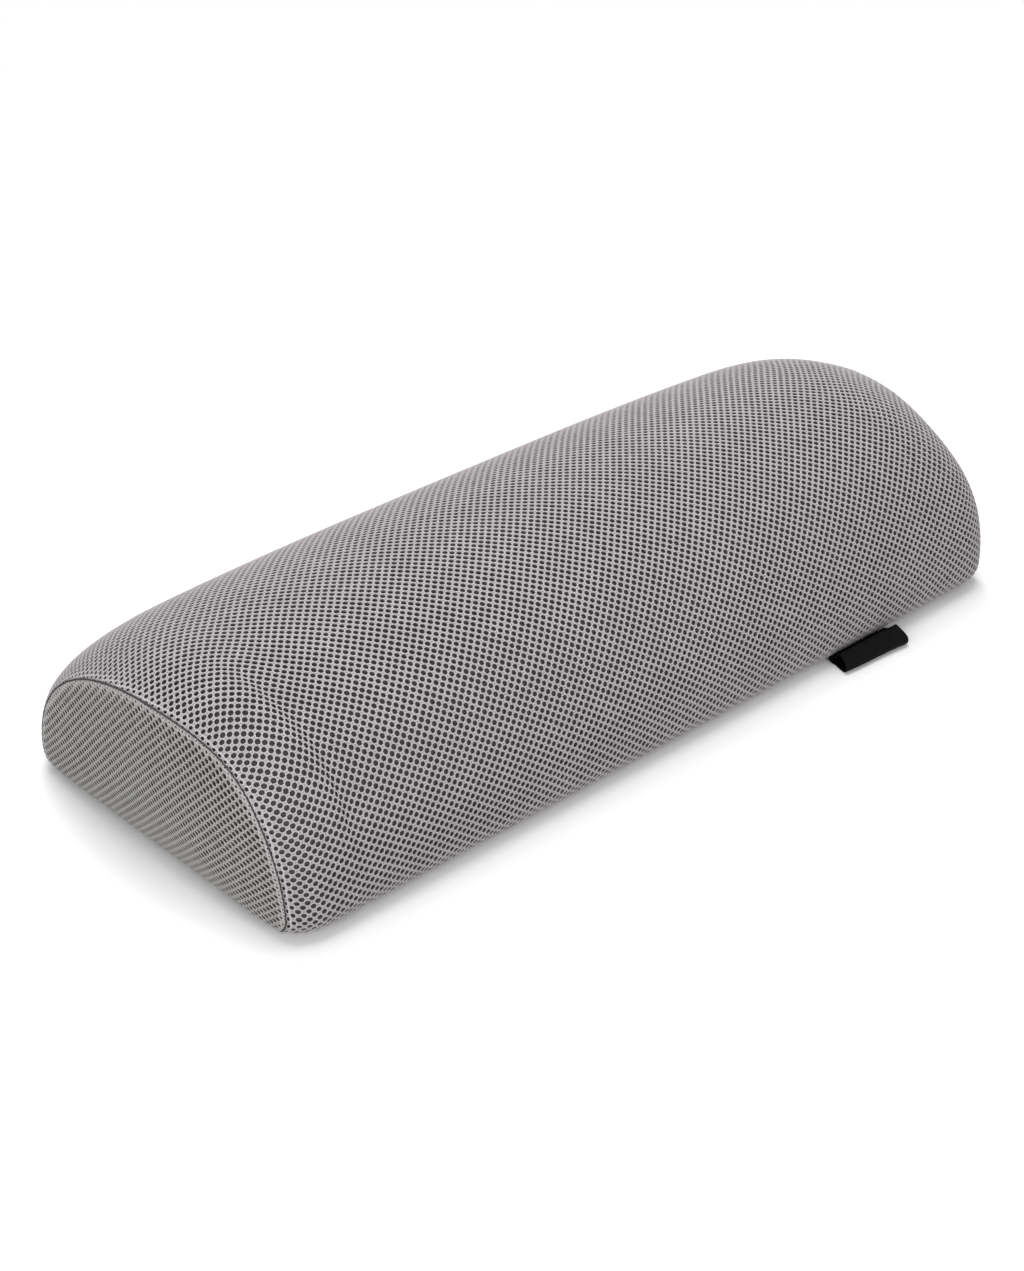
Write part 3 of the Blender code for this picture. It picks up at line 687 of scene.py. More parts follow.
def end_sheet(side):
    """The same for an end panel, in rings from its middle to its seam."""
    girths = girths_round(1, end_columns)
    seam, wall = skin(side, girths), skin_out(side, girths)
    normal = end_out(side, girths)
    onward = -side * np.cross(normal, wall[1])
    bend = np.arccos(np.clip((normal * wall[0]).sum(axis=1), -1, 1))
    places, outs, lengths, back = rolled(seam, normal, onward, bend)
    rings = 1 - np.linspace(0, 1, ray_steps) ** 2
    rays = np.array([end_skin(side, girths, ring) for ring in rings])
    length = summed(gaps(rays))
    grid, out = np.empty((2, end_rings, end_columns, 3))
    radius, near = np.empty((2, end_rings, end_columns))
    steps = ((end_rings - np.arange(end_rings)) / end_rings) ** end_crowding
    for j in range(end_columns):
        total = length[-1, j]
        distance = back[j] + (total - back[j]) * steps
        ring = np.interp(distance, length[:, j], rings)
        here = np.full(end_rings, girths[j])
        grid[:, j] = end_skin(side, here, ring)
        out[:, j] = end_out(side, here, np.maximum(ring, least_ring))
        radius[:, j], near[:, j] = total - distance, distance - back[j]
    out[0] = (side, 0, 0)
    grid, out = np.concatenate([grid, places]), np.concatenate([out, outs])
    radius = np.concatenate([radius, length[-1] - back + lengths])
    near = np.concatenate([near, np.zeros(lengths.shape)])
    ray = unit(seam[:, 1:] - [0, dome_height])
    return grid, out, bunched(radius[..., None] * ray * [side, 1]), near


def between(known, places, count):
    """Values at every row from those at some rows, and 0 before and after them."""
    columns = known.reshape(len(places), -1).T
    filled = [np.interp(np.arange(count), places, column, 0, 0) for column in columns]
    return np.array(filled).T.reshape(count, *known.shape[1:])


def settled(grid, out, near):
    """The crown's sheet after the foam has pressed it out between its sewn edges, as cloth."""
    inset, inset_band, most, last_frame = 0.0009, 0.012, 0.0011, 20
    end, side = end_rows - 1, side_rows
    rows = np.unique(np.r_[np.arange(end, grid.shape[0] - end, 2), grid.shape[0] - end - 1])
    columns = np.unique(np.r_[np.arange(side, grid.shape[1] - side, 2), grid.shape[1] - side - 1])
    pick = np.ix_(rows, columns)
    start = grid[pick] - inset * np.clip(near[pick] / inset_band, 0, 1)[..., None] * out[pick]
    cloth = placed("settling", new_mesh("settling", start, grid_faces(len(rows), len(columns))))
    sewn = np.zeros(start.shape[:2], bool)
    sewn[[0, -1]] = sewn[:, [0, -1]] = True
    held = cloth.vertex_groups.new(name="sewn")
    held.add(np.flatnonzero(sewn.ravel()).tolist(), 1.0, "REPLACE")
    fabric = cloth.modifiers.new("fabric", "CLOTH")
    fabric.settings.vertex_group_mass = "sewn"
    fabric.settings.use_pressure = True
    fabric.settings.uniform_pressure_force = 4
    fabric.settings.effector_weights.gravity = 0
    fabric.settings.quality = 5
    fabric.point_cache.frame_start, fabric.point_cache.frame_end = 1, last_frame
    for now in range(1, last_frame + 1):
        bpy.context.scene.frame_set(now)
    swollen = cloth.evaluated_get(bpy.context.evaluated_depsgraph_get()).to_mesh()
    ended = field_of(swollen.vertices, "co")
    bpy.context.scene.frame_set(1)
    bpy.data.objects.remove(cloth)
    moved = ended.reshape(start.shape) - grid[pick]
    far = np.linalg.norm(moved, axis=2, keepdims=True)
    moved *= np.minimum(1, most / np.maximum(far, 1e-9))
    full = between(moved.swapaxes(0, 1), columns, grid.shape[1]).swapaxes(0, 1)
    return grid + between(full, rows, grid.shape[0])


def beside_zip(grid):
    """1 on the hems beside the zip, which are pressed flat, and 0 past them."""
    hem_height, hem_fade, past_slot, end_fade, rear_side = 0.0155, 0.0035, 0.008, 0.006, 0.06
    up = np.clip((hem_height - np.abs(grid[..., 2] - zip_height)) / hem_fade, 0, 1)
    along = np.clip((slot_end + past_slot - np.abs(grid[..., 0])) / end_fade, 0, 1)
    return np.where(grid[..., 1] > rear_side, up * along, 0)


# One hole of the net: a lozenge of knitted land round a hole, with a raised rim of yarn.
# Its height is in z. tone is light on the rim and dark in the land, inner is 1 at the hole.
# Down the hole's edge and wall tone falls to 0: painted shade inside the hole.
hole_along, hole_round = 0.0052, 0.0048
lozenge = [(1, 0), (0.5, 0.5), (0, 1), (-0.5, 0.5), (-1, 0), (-0.5, -0.5), (0, -1), (0.5, -0.5)]
lozenge = np.array(lozenge) * [hole_along / 2, hole_round / 2]


def stock(name, mesh):
    """A form that a node tree copies. It isn't shown itself."""
    form = placed(name, mesh)
    form.hide_render = True
    return form


def hole_cell(name):
    """Four rings of eight points: the lozenge, the rim, and the hole's edge and wall."""
    spokes = np.arange(8) * math.pi / 4
    circle = np.stack([np.cos(spokes), np.sin(spokes)], axis=1)
    corner, top = (np.arange(8) % 4 == place for place in (0, 2))
    land_lift = np.select([corner, top], [-0.00040, -0.00025], -0.00005)
    land_tone = np.select([corner, top], [0.40, 0.50], 0.80)
    rings = [  # places, lift, tone and inner of each
        (lozenge, land_lift, land_tone, 0.0),
        (circle * [0.00161, 0.00154], 0.00012, 1.0, 0.7),
        # the hole's edge and wall are darkened by their tone: painted shade inside the hole
        (circle * [0.00151, 0.00144], -0.00022, 0.14, 1.0),
        (circle * [0.00147, 0.00141], -0.0015, 0.0, 1.0),
    ]
    flat, *rest = zip(*rings)
    lift, tone_and_hole_shade, inner = (np.concatenate([np.broadcast_to(row, 8) for row in rows]) for rows in rest)
    points = np.column_stack([np.concatenate(flat), lift])
    faces = grid_faces(4, 8, closed=True)[:, ::-1]
    return stock(name, new_mesh(name, points, faces, {"tone_and_hole_shade": tone_and_hole_shade, "inner": inner}))


def new_tree(name, inputs, result):
    """A Geometry Nodes tree with named inputs, its recipe, and its inputs as strands."""
    tree = bpy.data.node_groups.new(name, "GeometryNodeTree")
    for label, kind in inputs.items():
        tree.interface.new_socket(label, in_out="INPUT", socket_type=f"NodeSocket{kind}")
    tree.interface.new_socket(result, in_out="OUTPUT", socket_type="NodeSocketGeometry")
    recipe = Recipe(tree)
    entry = tree.nodes.new("NodeGroupInput")
    given = {label: Strand(recipe, recipe.pick(entry.outputs, label)) for label in inputs}
    return tree, recipe, given


# The net: a lattice of hole cells on the flat cloth, carried over to the sheet of a panel.
inputs = {"Sheet": "Geometry", "Hole": "Object", "Along": "Float", "Round": "Float"}
inputs |= {"Holes Along": "Int", "Rows": "Int", "Turn": "Float", "Unevenness": "Float"}
inputs |= {"Squeeze": "Vector", "Yarn": "Material"}
net_tree, net, given = new_tree("mesh_net", inputs, "Net")
cell_join, pressed = 0.00004, 0.6


def sampled(value, flat, kind="FLOAT_VECTOR"):
    """A value of the sheet at a place on the flat cloth, and whether the sheet reaches there."""
    spot = flat.spread((1 / cloth_side, 1 / cloth_side, 0), (0.5, 0.5, 0))
    values = {"Mesh": given["Sheet"], "Value": value, "Sample UV": spot}
    values["UV Map"] = net.kept("cloth")
    return net.several("GeometryNodeSampleUVSurface", (0, 1), values, data_type=kind)


here = net.add("GeometryNodeInputPosition")
values = {
    "Size X": given["Along"] * (given["Holes Along"] - 1),
    "Size Y": given["Round"] * 0.5 * (given["Rows"] - 1),
    "Vertices X": given["Holes Along"],
    "Vertices Y": given["Rows"],
}
lattice = net.add("GeometryNodeMeshGrid", values)
index = net.add("GeometryNodeInputIndex")
odd = index.math("MODULO", 2.0)
aside = net.add("ShaderNodeCombineXYZ", {"X": (odd - 0.5) * given["Along"] * 0.5})
lattice = lattice.moved(Offset=aside)
values = {"Vector": here, "Angle": given["Turn"]}
turned = net.add("ShaderNodeVectorRotate", values, rotation_type="Z_AXIS")
lattice = lattice.moved(Position=turned).keeping("centre", here)
values = {"Axis": (0, 0, 1), "Angle": given["Turn"]}
spin = net.add("FunctionNodeAxisAngleToRotation", values)
reaches = sampled(here, here)[1]
laid = lattice.laid_out(given["Hole"], Selection=reaches, Rotation=spin)
laid = laid.then("MergeByDistance", {"Distance": cell_join})

centre = net.kept("centre")
closing = sampled(net.kept("closing", "FLOAT"), centre, "FLOAT")[0]
wander = net.noise(centre, 900.0, 0.0) - 0.5
inner = net.kept("inner", "FLOAT")
outwards = here.plus(centre.times(-1.0)).spread((-1, -1, 0))
pinched = outwards.spread(given["Squeeze"].times(closing * inner))
pinched = pinched.plus(outwards.times(wander * inner * given["Unevenness"]))
laid = laid.moved(Offset=pinched)
laid = laid.keeping("flat", here).keeping("closing", closing, "FLOAT")
position, reaches = sampled(here, here)
missed = net.add("FunctionNodeBooleanMath", {0: reaches}, operation="NOT")
laid = laid.then("DeleteGeometry", {"Selection": missed}, domain="POINT")
lift = here.axis("Z") * (1 - closing * pressed)
direction = sampled(net.kept("out"), here)[0]
laid = laid.moved(Position=position.plus(direction.times(lift)))
laid.hand_out(given["Yarn"])


def made_by(tree, name, mesh, settings):
    """The plain mesh that a Geometry Nodes tree makes of a mesh."""
    sockets = {i.name: i.identifier for i in tree.interface.items_tree if i.in_out == "INPUT"}
    carrier = placed(name, mesh)
    modifier = carrier.modifiers.new(name, "NODES")
    modifier.node_group = tree
    for label, value in settings.items():
        modifier[sockets[label]] = value
    graph = bpy.context.evaluated_depsgraph_get()
    result = bpy.data.meshes.new_from_object(carrier.evaluated_get(graph))
    carrier.modifiers.clear()
    bpy.data.objects.remove(carrier)
    result.name = name
    return result


def eased(near, start, band):
    """1 at a seam, falling to 0 over a band beside it."""
    return np.clip(1 - (near - start) / band, 0, 1) ** 2


def closing_of(sheet, name):
    """How far the holes are closed: fully in a seam, partly on the zip's hems."""
    grid, _, _, near = sheet
    full, end_band, wall_band, on_hem = 0.0008, 0.0036, 0.0030, 0.35
    if "end" in name:
        return eased(near, full, end_band)
    return np.maximum(eased(near, full, wall_band), on_hem * beside_zip(grid))


def panel_faces(name, grid):
    """The faces of a panel's sheet. End panels are rings, wound the other way at the right."""
    faces = grid_faces(*grid.shape[:2], closed="end" in name)
    return faces[:, ::-1] if name.endswith("right") else faces


def net_of(name, sheet, hole, turn, finish):
    """The net of one panel, pressed flat where it touches the floor."""
    grid, out, cloth, _ = sheet
    floor_clearance, lattice_margin, bake_margin = 0.00004, 0.06, 0.01
    low, high = cloth.reshape(-1, 2).min(axis=0), cloth.reshape(-1, 2).max(axis=0)
    reach = 2 * np.maximum(-low, high) + lattice_margin
    numbers = {"out": out, "closing": closing_of(sheet, name)}
    mesh = new_mesh(name, grid, panel_faces(name, grid), numbers, cloth / cloth_side + 0.5)
    settings = {
        "Hole": hole,
        "Along": hole_along,
        "Round": hole_round,
        "Holes Along": int(reach[0] / hole_along) // 2 * 2 + 1,
        "Rows": int(2 * reach[1] / hole_round) // 2 * 2,
        "Turn": turn,
        "Unevenness": 0.25,
        "Squeeze": (0.66, 0.66, 0) if "end" in name else (0.55, 0.1, 0),
        "Yarn": finish,
    }
    made = made_by(net_tree, name, mesh, settings)
    place = field_of(made.vertices, "co")
    place[:, 2] = np.maximum(place[:, 2], floor_clearance)
    made.vertices.foreach_set("co", place.ravel())
    flat = field_of(made.attributes["flat"].data, "vector", kind=np.float32)[:, :2]
    low, high = flat.min(axis=0), flat.max(axis=0)
    layout = bake_margin + (1 - 2 * bake_margin) * (flat - low) / (high - low)
    add_layout(made, "OFBake", layout)
    made.update()
    return made


# Yarn of the knit face: grey, light on the raised rims and darker in the land. In the holes it is
# darker still: painted shade on their walls.
# The end panels' cloth was cut from a warmer roll than the crown's.
def yarn_finish(name, hole_shade_colour, rim):
    finish, yarn, place = new_finish(name)
    fibres, mottle = yarn.noise(place, 2600.0), yarn.noise(place, 26.0, 3.0)
    tone_and_hole_shade = yarn.add("ShaderNodeAttribute", None, "Fac", attribute_name="tone_and_hole_shade")
    light = (tone_and_hole_shade + (fibres - 0.5) * 0.7 + (mottle - 0.5) * 0.14).held()
    colour = yarn.blend(light, (*hole_shade_colour, 1), (*rim, 1))
    yarn.surface(colour, 0.82, (fibres, 0.45, 0.0003), Sheen_Weight=0.12)
    return finish


# The first colour is the painted shade at the bottom of the holes; the land's grey is mixed from it
# and the rim's.
crown_yarn = yarn_finish("crown_yarn", (0.060, 0.054, 0.057), (0.67, 0.628, 0.649))
end_yarn = yarn_finish("end_yarn", (0.060, 0.056, 0.054), (0.65, 0.631, 0.616))

# The closed inner face behind the holes, in the shade of the net. Its dark grey is partly the
# cloth's own colour and partly painted shade of the spacer threads, which aren't built.
inner_finish, inside, place = new_finish("air_mesh_inner_face")
threads = inside.noise(place, 1500.0, 3.0)
inside.surface(inside.blend(threads, grey(0.06), grey(0.21, 0.02)), 0.9, (threads, 0.6, 0.0005))
inner_face_depth, hem_face_depth = 0.0019, 0.0004


def backing_of(name, sheet):
    """The inner face of a panel, set back. It rolls over the hem, and ends short of a seam."""
    grid, out, _, _ = sheet
    closed, end = "end" in name, end_rows - 1
    rows = slice(0, grid.shape[0] - end) if closed else slice(end, grid.shape[0] - end)
    columns = {"cover_crown": slice(0, -side_rows), "cover_base": slice(side_rows, None)}
    columns = columns.get(name[len("inner_") :], slice(None))
    kept, normal = grid[rows, columns], out[rows, columns]
    depth = inner_face_depth - (inner_face_depth - hem_face_depth) * beside_zip(kept)
    if closed:
        depth = np.full(kept.shape[:2], inner_face_depth)
    return new_mesh(name, kept - depth[..., None] * normal, panel_faces(name, kept))


fold_depth = 0.0006
grid, out, cloth, near = wall_sheet("crown")
grid = settled(grid, out, near)
fold = creased(cloth[..., 0], cloth[..., 1])[0][..., None]
crown_sheet = (grid - fold_depth * fold * out, out, cloth, near)
hole = hole_cell("hole")
turn = math.radians(3)
panels = [
    ("cover_crown", crown_sheet, crown_yarn),
    ("cover_base", wall_sheet("base"), crown_yarn),
    ("cover_end_left", end_sheet(-1), end_yarn),
    ("cover_end_right", end_sheet(1), end_yarn),
]
for node, sheet, finish in panels:
    net_mesh = net_of(f"net_{node}", sheet, hole, turn, finish)
    net_piece = new_piece(f"net_{node}", net_mesh, finish, "air_mesh", node)
    inner_mesh = backing_of(f"inner_{node}", sheet)
    inner_piece = new_piece(f"inner_{node}", inner_mesh, inner_finish, "air_mesh", node)
bpy.data.objects.remove(hole)


# The seams are closed with dark grey thread, drawn down between the rolled edges, where it shows as
# a fine dark line. Beside the zip a grey topstitch holds hem and tape together.
def stitch_shape(name, length, radius, dip):
    """One stitch: a short thread along X that dips into the cloth at both its ends."""
    points, rings, sides = [], 7, 6
    for k in range(rings):
        t = 2 * k / (rings - 1) - 1
        thick = radius * math.sqrt(max(0.06, 1 - abs(t) ** 6))
        for j in range(sides):
            angle = j / sides * 2 * math.pi
            rise = thick * math.sin(angle) - dip * t**4
            points.append((t * length / 2, thick * math.cos(angle), rise))
    faces = [list(face) for face in grid_faces(rings, sides, closed=True)]
    faces += [list(range(sides)), list(range((rings - 1) * sides, rings * sides))[::-1]]
    return stock(name, new_mesh(name, points, [face[::-1] for face in faces]))


inputs = {"Path": "Geometry", "Stitch": "Object", "Pitch": "Float", "Thread": "Material"}
stitch_tree, sewing, given = new_tree("stitches", inputs, "Stitches")
line = sewing.add("GeometryNodeMeshToCurve", {"Mesh": given["Path"]})
values = {"Curve": line, "Length": given["Pitch"]}
line = sewing.add("GeometryNodeResampleCurve", values, mode="LENGTH")
values = {"Vector": sewing.kept("out")}
upright = sewing.add("FunctionNodeAlignRotationToVector", values, axis="Z")
values = {"Rotation": upright, "Vector": sewing.add("GeometryNodeInputTangent")}
along = sewing.add("FunctionNodeAlignRotationToVector", values, axis="X", pivot_axis="Z")
line.laid_out(given["Stitch"], Rotation=along).hand_out(given["Thread"])


def thread_finish(name, dark, light):
    finish, thread, place = new_finish(name)
    plies = ((place.axis("X") + place.axis("Y") + place.axis("Z")) * 9000.0).wave()
    fuzz = thread.noise(place, 3000.0)
    shade = thread.blend(plies * 0.5 + fuzz * 0.5, grey(dark), grey(light))
    thread.surface(shade, 0.75, (plies, 0.5, 0.0001))
    return finish


def path_of(lines):
    """Lines of points with the directions out of the cloth, as one mesh of edges."""
    points, outs, edges = [], [], []
    for places, directions, closed in lines:
        first, count = len(points), len(places)
        points += list(places)
        outs += list(directions)
        edges += [(first + k, first + (k + 1) % count) for k in range(count - (not closed))]
    return new_mesh("path", points, [], {"out": outs}, edges=edges)


def sewn_piece(name, lines, stitch, pitch, finish, slot):
    settings = {"Stitch": stitch, "Pitch": pitch, "Thread": finish}
    mesh = made_by(stitch_tree, name, path_of(lines), settings)
    bpy.data.objects.remove(stitch)
    return new_piece(name, mesh, finish, slot)


seam_points, line_points, seam_clearance = 720, 160, 0.0006


def round_end(side, depth):
    """The seam round an end panel, which stays above the floor."""
    girths = girths_round(1, seam_points)
    out = unit(skin_out(side, girths)[0] + end_out(side, girths))
    places = skin(side, girths) - depth * out
    places[:, 2] = np.maximum(places[:, 2], seam_clearance)
    return places, out, True


def along_wall(low, high, depth, girth=None):
    """A line along the pillow between two places, at a girth or else along the front seam."""
    places, outs = [], []
    for share in np.linspace(low, high, line_points) / half_span:
        here = np.array([marks_at(share)["seam"] if girth is None else girth])
        outs.append(skin_out(share, here)[0][0])
        places.append(skin(share, here)[0] - depth * outs[-1])
    return np.array(places), np.array(outs), False


label_centre, label_width, label_room = half_span - 0.1104, 0.046, 0.001
thread_depth, end_thread_depth, hem_line, hem_rise = 0.0005, 0.00052, 0.009, 0.0002
dark_thread = thread_finish("seam_thread", 0.02, 0.05)
grey_thread = thread_finish("topstitch", 0.2, 0.4)
seam_end = half_span - 0.003
label_low = label_centre - label_width / 2 - label_room
label_high = label_centre + label_width / 2 + label_room
seams = [
    round_end(-1, end_thread_depth),
    round_end(1, end_thread_depth),
    along_wall(-seam_end, label_low, thread_depth),
    along_wall(label_high, seam_end, thread_depth),
    along_wall(-seam_end, -slot_end, thread_depth, girth=0.0),
    along_wall(slot_end, seam_end, thread_depth, girth=0.0),
]
seam_stitch = stitch_shape("seam_stitch", length=0.0027, radius=0.00042, dip=0.00006)
sewn_piece("seam_stitches", seams, seam_stitch, 0.0025, dark_thread, "air_mesh")
hem_end = slot_end - 0.001
hems = [along_wall(-hem_end, hem_end, -hem_rise, girth) for girth in (-hem_line, hem_line)]
top_stitch = stitch_shape("top_stitch", length=0.0028, radius=0.00028, dip=0.0005)
sewn_piece("zip_topstitch", hems, top_stitch, 0.0033, grey_thread, "zip_tape")


# The zip is a closed-end nylon coil zip in the rear side, sewn in behind the hems of crown and base.
# Its tapes are woven polyester, and each carries a coil of round nylon, sewn down through its turns.
zip_middle = skin(0, np.array([0.0]))[0]
zip_out = skin_out(0, np.array([0.0]))[0][0]
zip_up = np.cross((1, 0, 0), zip_out) * np.sign(np.cross((1, 0, 0), zip_out)[2])


def in_zip(x, rise, depth):
    """Places by distance along the zip, above its middle line and under the skin."""
    along, rise, depth = np.broadcast_arrays(x, rise, depth)
    along = along[..., None] * np.array([1, 0, 0])
    return zip_middle + along + rise[..., None] * zip_up - depth[..., None] * zip_out


tape_finish, tape, place = new_finish("woven_zip_tape")
slant = place.axis("X") * 5200.0
ribs = (slant + place.axis("Z") * 9000.0).wave() * (place.axis("Z") * 4200.0).wave()
weave = ribs * 0.6 + tape.noise(place, 1800.0) * 0.4
shade = tape.blend(weave, (0.10, 0.096, 0.098, 1), (0.24, 0.230, 0.235, 1))
tape.surface(shade, 0.85, (ribs, 0.5, 0.0002))
for node in ("zip_tape_upper", "zip_tape_lower"):
    for held in bpy.data.objects[node].material_slots:
        held.material = tape_finish

nylon_finish, nylon, place = new_finish("grey_nylon")
shade = nylon.blend(nylon.noise(place, 700.0), grey(0.11), grey(0.17, 0.01))
nylon.surface(shade, nylon.noise(place, 1500.0) * 0.2 + 0.28)

inputs = {"Coil": "Geometry", "Turn": "Object", "Step": "Vector", "Turns": "Int"}
inputs |= {"Nylon": "Material"}
coil_tree, winding, given = new_tree("coil", inputs, "Coil")
values = {"Count": given["Turns"], "Offset": given["Step"]}
line = winding.add("GeometryNodeMeshLine", values)
wound = line.laid_out(given["Turn"]).then("MergeByDistance", {"Distance": 0.00001})
wound.hand_out(given["Nylon"])

coil_start, wedge_rear, coil_end = -zip_half - 0.0085, zip_half - 0.0115, zip_half + 0.0085
tail_start = zip_half - 0.0045  # past the slider the coils run on, side by side
coil_pitch, coil_wire = 0.0015, 0.00027
coil_rise, coil_reach, coil_depth, coil_swell = 0.00120, 0.00155, 0.0011, 0.00022
tail_gap = 0.0005
coil_thread_rise, coil_thread_depth, coil_thread_points = 0.0023, 0.00066, 60


def coil_turn(start, above, lead, apart):
    """One flattened turn of the coil, as a wire of few faces."""
    count, sides = 11, 5
    turn = np.linspace(0, 2 * math.pi, count)
    x = start + coil_pitch * (turn / (2 * math.pi) + lead)
    rise = above * (coil_rise + apart + coil_reach * np.cos(turn))
    middle = in_zip(x, rise, coil_depth + coil_swell * np.sin(turn))
    climb, sink = -above * coil_reach * np.sin(turn), coil_swell * np.cos(turn)
    ahead = unit(in_zip(coil_pitch / (2 * math.pi), climb, sink) - zip_middle)
    beside = unit(np.cross(ahead, zip_out))
    over = np.cross(ahead, beside)
    angle = (np.arange(sides) / sides * 2 * math.pi)[None, :, None]
    ring = beside[:, None] * np.cos(angle) + over[:, None] * np.sin(angle)
    points = middle[:, None] + coil_wire * ring
    return stock("coil_turn", new_mesh("coil_turn", points, grid_faces(count, sides, closed=True)))


def coil_row(name, start, end, above, lead, apart=0.0):
    loop = coil_turn(start, above, lead, apart)
    turns = int((end - start) / coil_pitch) - 1
    settings = {"Turn": loop, "Step": (coil_pitch, 0, 0), "Turns": turns, "Nylon": nylon_finish}
    made = made_by(coil_tree, name, bpy.data.meshes.new("start"), settings)
    bpy.data.objects.remove(loop)
    return made


def merged(name, meshes):
    """Several meshes as one."""
    form = bmesh.new()
    for mesh in meshes:
        form.from_mesh(mesh)
    whole = bpy.data.meshes.new(name)
    form.to_mesh(whole)
    form.free()
    whole.shade_smooth()
    return whole


for node, above, lead in (("zip_teeth_upper", 1, 0.0), ("zip_teeth_lower", -1, 0.5)):
    name = node.replace("teeth", "coil")
    closed_part = coil_row(name, coil_start, wedge_rear, above, lead)
    open_part = coil_row(name, tail_start, coil_end, above, lead, apart=tail_gap)
    new_piece(name, merged(name, [closed_part, open_part]), nylon_finish, "zip_teeth", node)
    lines = []
    for first, last in ((coil_start, wedge_rear - coil_pitch), (tail_start, coil_end - coil_pitch)):
        xs = np.linspace(first, last, coil_thread_points)
        places = in_zip(xs, above * coil_thread_rise, coil_thread_depth)
        lines.append((places, np.tile(zip_out, (coil_thread_points, 1)), False))
    coil_stitch = stitch_shape("coil_stitch", length=0.0014, radius=0.00016, dip=0.0001)
    sewn_piece(f"{name}_thread", lines, coil_stitch, coil_pitch, grey_thread, "zip_tape")


# The slider, its pull and the stops are zinc, plated dull grey. The slider runs along the chain and
# its pull turns on the arch. The stops are clamped over the coil.
metal_finish, metal, place = new_finish("plated_zinc")
stain, grain = metal.noise(place, 300.0, 3.0), metal.noise(place, 2200.0)
shade = metal.blend(stain, grey(0.20, 0.01), grey(0.32, -0.01))
metal.surface(shade, grain * 0.2 + 0.26, (grain, 0.2, 0.0001), Metallic=1.0)


flat_angle, sharp_angle = math.radians(2), math.radians(40)


def finer_copy(node, name, edge, body):
    """A node's own form with its edges rounded."""
    mesh = bpy.data.objects[node].data.copy()
    form = bmesh.new()
    form.from_mesh(mesh)
    bmesh.ops.remove_doubles(form, verts=form.verts, dist=1e-6)
    bmesh.ops.dissolve_limit(form, angle_limit=flat_angle, verts=form.verts, edges=form.edges)
    form.to_mesh(mesh)
    form.free()
    mesh.shade_smooth()
    piece = new_piece(name, mesh, metal_finish, "zip_metal", node, body=body)
    rounded = piece.modifiers.new("edges", "BEVEL")
    rounded.width, rounded.segments = edge, 3
    rounded.limit_method, rounded.angle_limit = "ANGLE", sharp_angle
    rounded.harden_normals = True


finer_copy("zip_slider_body", "slider_body", 0.00018, "slider")
finer_copy("zip_pull_tab", "pull_tab", 0.00022, "pull")
for node in ("zip_top_stop_upper", "zip_top_stop_lower", "zip_end_stop"):
    finer_copy(node, node.replace("zip_", "zip_clamp_"), 0.00015, "pillow")


# The loop label is a black satin ribbon, woven with fine ribs, folded back on itself.
# Both its ends are caught in the seam under the front edge, and it is left bare.
label_ply, label_reach, label_free, label_floor = 0.0006, 0.0135, 0.0145, 0.00035
label_lift = 0.00135
askew_x, askew_y = 0.0034, 0.0037  # the near end of the fold hangs this far along and back
seam_girth = np.array([marks_at(label_centre / half_span)["seam"]])
root = skin(label_centre / half_span, seam_girth)[0]
start = root + skin_out(label_centre / half_span, seam_girth)[0][0] * label_lift
side, low, high, lift = -width / 2, 0.0005, 0.0092, 0.00095
fold = side - label_reach
ribbon_section = np.array(
    [
        (start[1] + 0.0006, start[2] - 0.0002),
        (start[1] - 0.0006, start[2] - 0.0011),
        (start[1] - 0.0026, low),
        (side - 0.002, low),
        (fold + 0.004, low),
        (fold + 0.0006, low + 0.0012),
        (fold, low + 0.0034),
        (fold + 0.0022, low + 0.0062),
        (side - 0.0055, high - 0.0008),
        (side - 0.0018 - lift, high),
        (side + 0.0005 - lift, high - 0.0028),
        (start[1] - 0.0022, start[2] + 0.0013),
        (start[1] + 0.0002, start[2] + 0.0010),
    ]
)


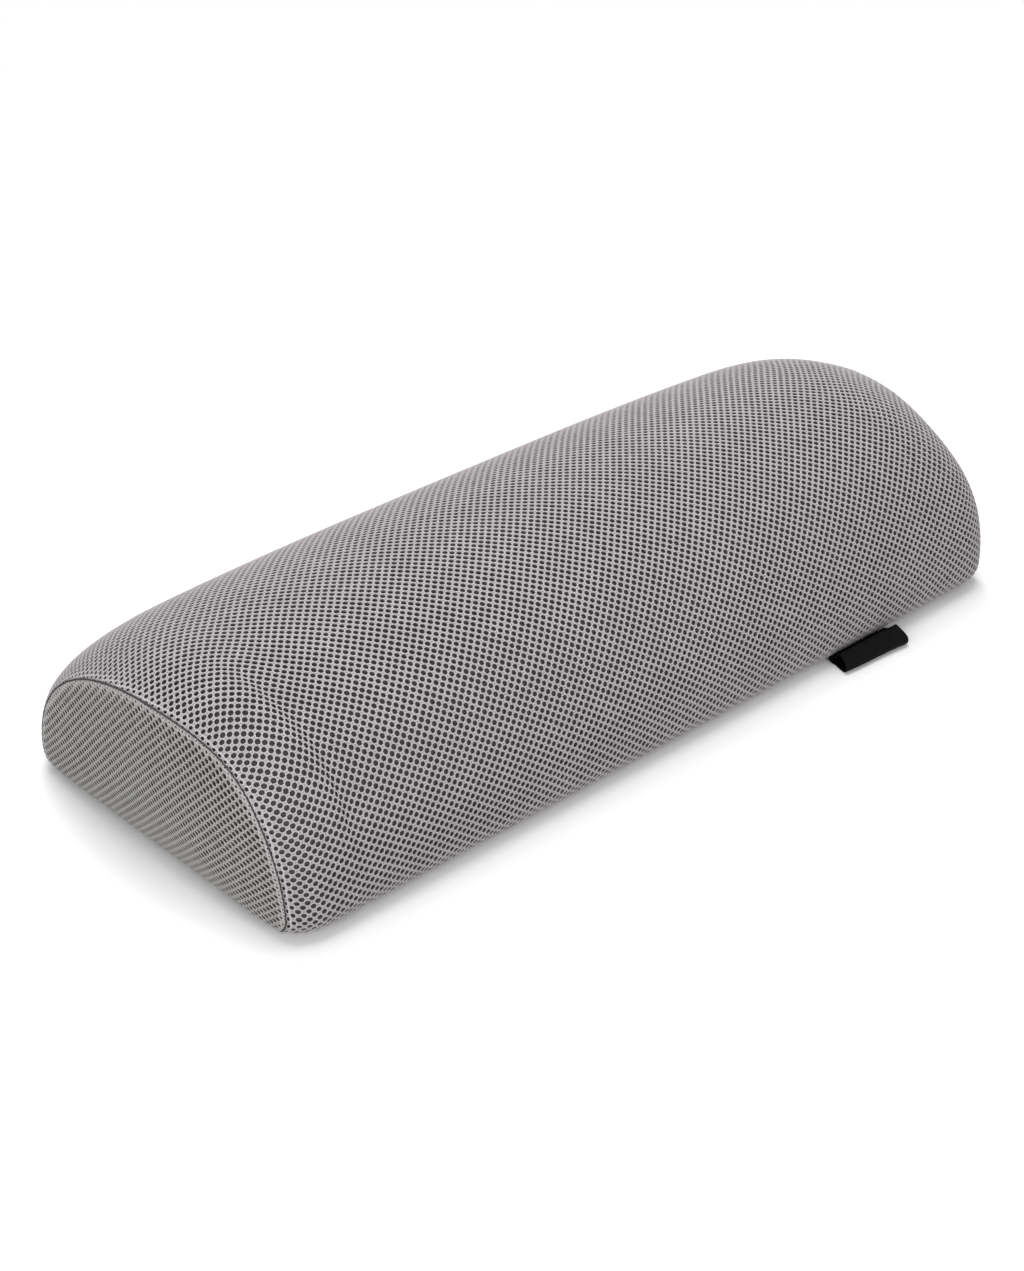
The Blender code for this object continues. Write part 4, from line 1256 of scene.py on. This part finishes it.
def smooth_ring(points, steps):
    """A closed curve that rounds the corners of a few points."""
    t = (np.arange(steps) / steps)[:, None]
    before, after = np.roll(points, 1, axis=0), np.roll(points, -1, axis=0)
    spans = [
        0.5 * (1 - t) ** 2 * a + (0.5 + t * (1 - t)) * b + 0.5 * t**2 * c
        for a, b, c in zip(before, points, after)
    ]
    return np.concatenate(spans)


def ribbon_mesh():
    """The ribbon as rows across its width. It hangs a little askew and its near end gapes."""
    ring = smooth_ring(ribbon_section, 8)
    across = np.linspace(-1, 1, 49)
    across = np.sign(across) * (1 - (1 - np.abs(across)) ** 1.4)
    run = summed(gaps(ring))
    free = np.clip((side + 0.001 - ring[:, 0]) / label_free, 0, 1)
    curl_back, curl_down, gape, ripple, swell = 0.0022, 0.0012, 0.0006, 0.0003, 0.0004
    off_floor, upper_ply = ring[:, 1] > 0.003, ring[:, 1] > 0.005
    points, cloth = [], []
    for w in across:  # far and near grow towards the ribbon's two edges
        far, near = max(0, (w - 0.90) / 0.10), max(0, (-w - 0.6) / 0.4)
        y = ring[:, 0] + free * (curl_back * far**2 + ripple * math.sin(3.1 * w + 0.4))
        z = ring[:, 1] + free * swell * np.sin(2.3 * w) * off_floor
        z = z + free * (gape * near**2 - curl_down * far**2) * upper_ply
        askew = free * (1 - w) / 2
        x = label_centre + w * label_width / 2 - askew_x * askew
        points.append(np.stack([x, y + askew_y * askew, np.maximum(z, label_floor)], axis=1))
        cloth.append(np.stack([np.full(len(ring), (w + 1) / 2), run / run[-1]], axis=1))
    faces = grid_faces(len(across), len(ring), closed=True)
    return new_mesh("ribbon_loop", points, faces, cloth=cloth), run[-1]


ribbon_finish, ribbon, place = new_finish("black_satin_ribbon")
ribs = (place.axis("X") * 15000.0).wave()
fray = ribbon.noise(place, 1300.0)
shade = ribbon.blend(ribs * 0.6 + fray * 0.4, grey(0.001), grey(0.006, -0.05))
ribbon.surface(shade, 0.6, (ribs + fray * 0.5, 0.35, 0.0001), Specular_IOR_Level=0.06)
ribbon_sheet, ribbon_length = ribbon_mesh()
label = new_piece("ribbon_loop", ribbon_sheet, ribbon_finish, "ribbon", "loop_label")
ply = label.modifiers.new("ply", "SOLIDIFY")
ply.thickness, ply.offset, ply.use_rim = label_ply, 0, True
